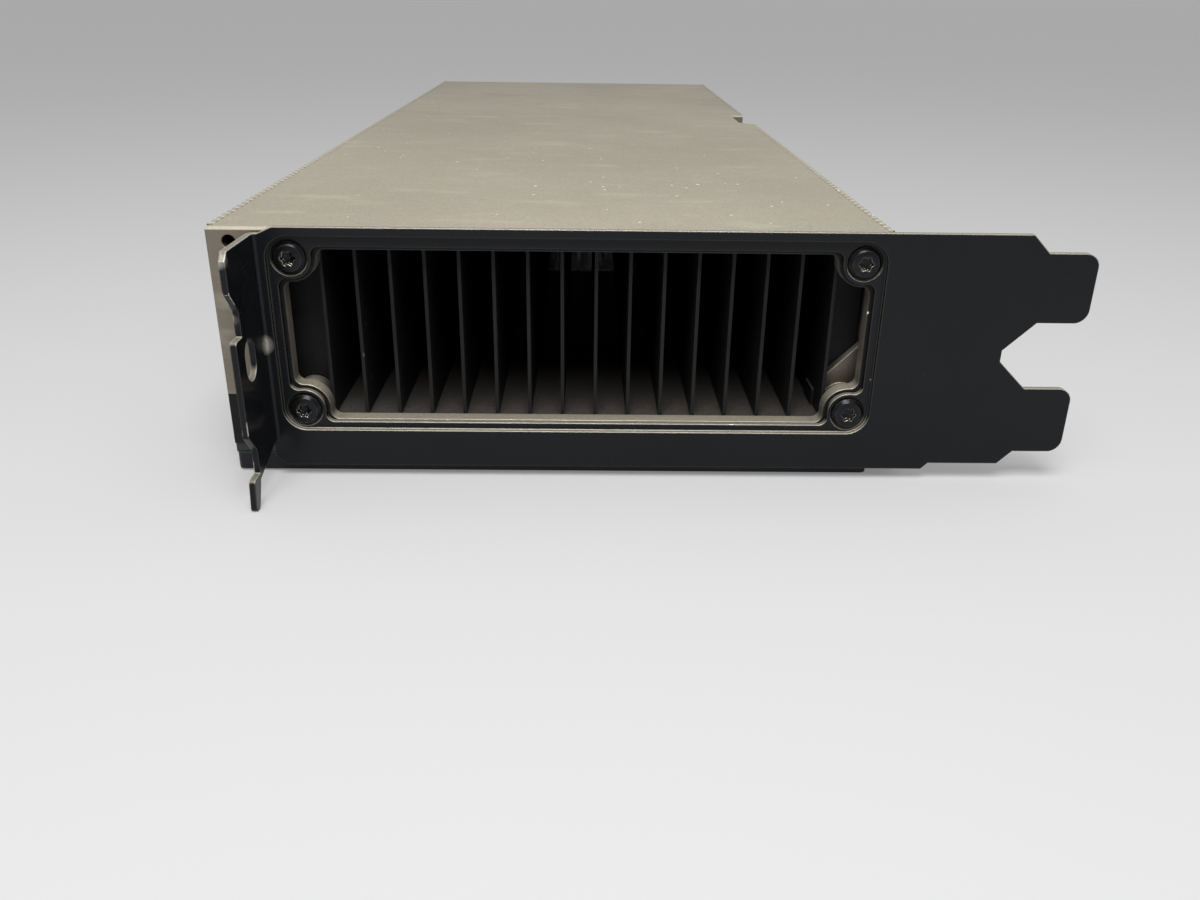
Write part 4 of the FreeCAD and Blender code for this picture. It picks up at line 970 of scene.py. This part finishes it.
# %% Sky
SKY_HORIZON = rgb(0.12, 0.125, 0.135)
SKY_RISE = (0.1, 0.8)
SKY_STRENGTH = 0.56
BACKDROP = rgb(0.4, 0.4, 0.4)

world = bpy.data.worlds.new("studio")
bpy.context.scene.world = world
world.use_nodes = True
sky = world.node_tree
sky.nodes.clear()
rise = add(sky, "SeparateXYZ", Vector=add(sky, "TexCoord").outputs["Generated"]).outputs["Z"]
shade = blend(sky, span(sky, rise, 0.0, 1.0, *SKY_RISE), SKY_HORIZON, WHITE)
even = add(sky, "Background", Color=shade, Strength=SKY_STRENGTH)
backdrop = add(sky, "Background", Color=BACKDROP, Strength=1.0)
choice = add(sky, "MixShader", Fac=seen_rays(sky))
sky.links.new(even.outputs[0], choice.inputs[1])
sky.links.new(backdrop.outputs[0], choice.inputs[2])
sky.links.new(choice.outputs[0], add(sky, "OutputWorld").inputs[0])
print("sky nodes:", len(sky.nodes))

# %% [markdown]
# ## Lamps
# A soft box above and ahead of the card lights its front and draws a highlight along the edges, and a
# larger, weaker one overhead fills in the top.  Bare points of light would give hard shadows.

# %% Lamps
KEY_WIDTH = 0.22
KEY_POWER = 1.5
OVER_WIDTH = 0.6
OVER_POWER = 0.35


def lamp(name, place, aim, width, power):
    """A square soft box that faces a point."""
    data = bpy.data.lights.new(name, "AREA")
    data.energy = power
    data.size = width
    made = bpy.data.objects.new(name, data)
    made.location = place
    made.rotation_mode = "QUATERNION"
    made.rotation_quaternion = (Vector(aim) - Vector(place)).to_track_quat("-Z", "Y")
    bpy.context.scene.collection.objects.link(made)
    print(name, "at", [round(v, 3) for v in place], "m,", power, "W")


front = Vector(((cad_box[0].x + cad_box[1].x) / 2, cad_box[0].y, cad_box[1].z))
lamp("key", front + Vector((-0.02, -0.17, 0.32)), front, KEY_WIDTH, KEY_POWER)
lamp("over", front + Vector((0.15, 0.05, 0.6)), front, OVER_WIDTH, OVER_POWER)

# %% [markdown]
# ## Camera
# A wide lens close to the bracket end looks down along the card.  Its direction could be aimed at a
# point, but it is also rolled a little, so its three axes are worked out from yaw, pitch and roll.

# %% Camera
CAMERA_AT = Vector((-57.79, -200.76, 63.93)) * MM
YAW = math.radians(0.98656)
PITCH = math.radians(24.0085)
ROLL = math.radians(0.81978)
LENS = 30.55
SENSOR_WIDTH = 36.0
NEAREST_SEEN = 0.01

look = Vector((math.sin(YAW) * math.cos(PITCH), math.cos(YAW) * math.cos(PITCH), -math.sin(PITCH)))
right = Vector((math.cos(YAW), -math.sin(YAW), 0))
up = right.cross(look)
rolled_right = right * math.cos(ROLL) + up * math.sin(ROLL)
rolled_up = up * math.cos(ROLL) - right * math.sin(ROLL)
axes = Matrix((rolled_right, rolled_up, -look)).transposed().to_4x4()
camera_data = bpy.data.cameras.new("camera")
camera_data.lens = LENS
camera_data.sensor_width = SENSOR_WIDTH
camera_data.clip_start = NEAREST_SEEN
camera = bpy.data.objects.new("camera", camera_data)
camera.matrix_world = Matrix.Translation(CAMERA_AT) @ axes
bpy.context.scene.collection.objects.link(camera)
bpy.context.scene.camera = camera
bpy.context.scene.view_settings.view_transform = "Standard"
print("camera looks along", [round(v, 3) for v in look])
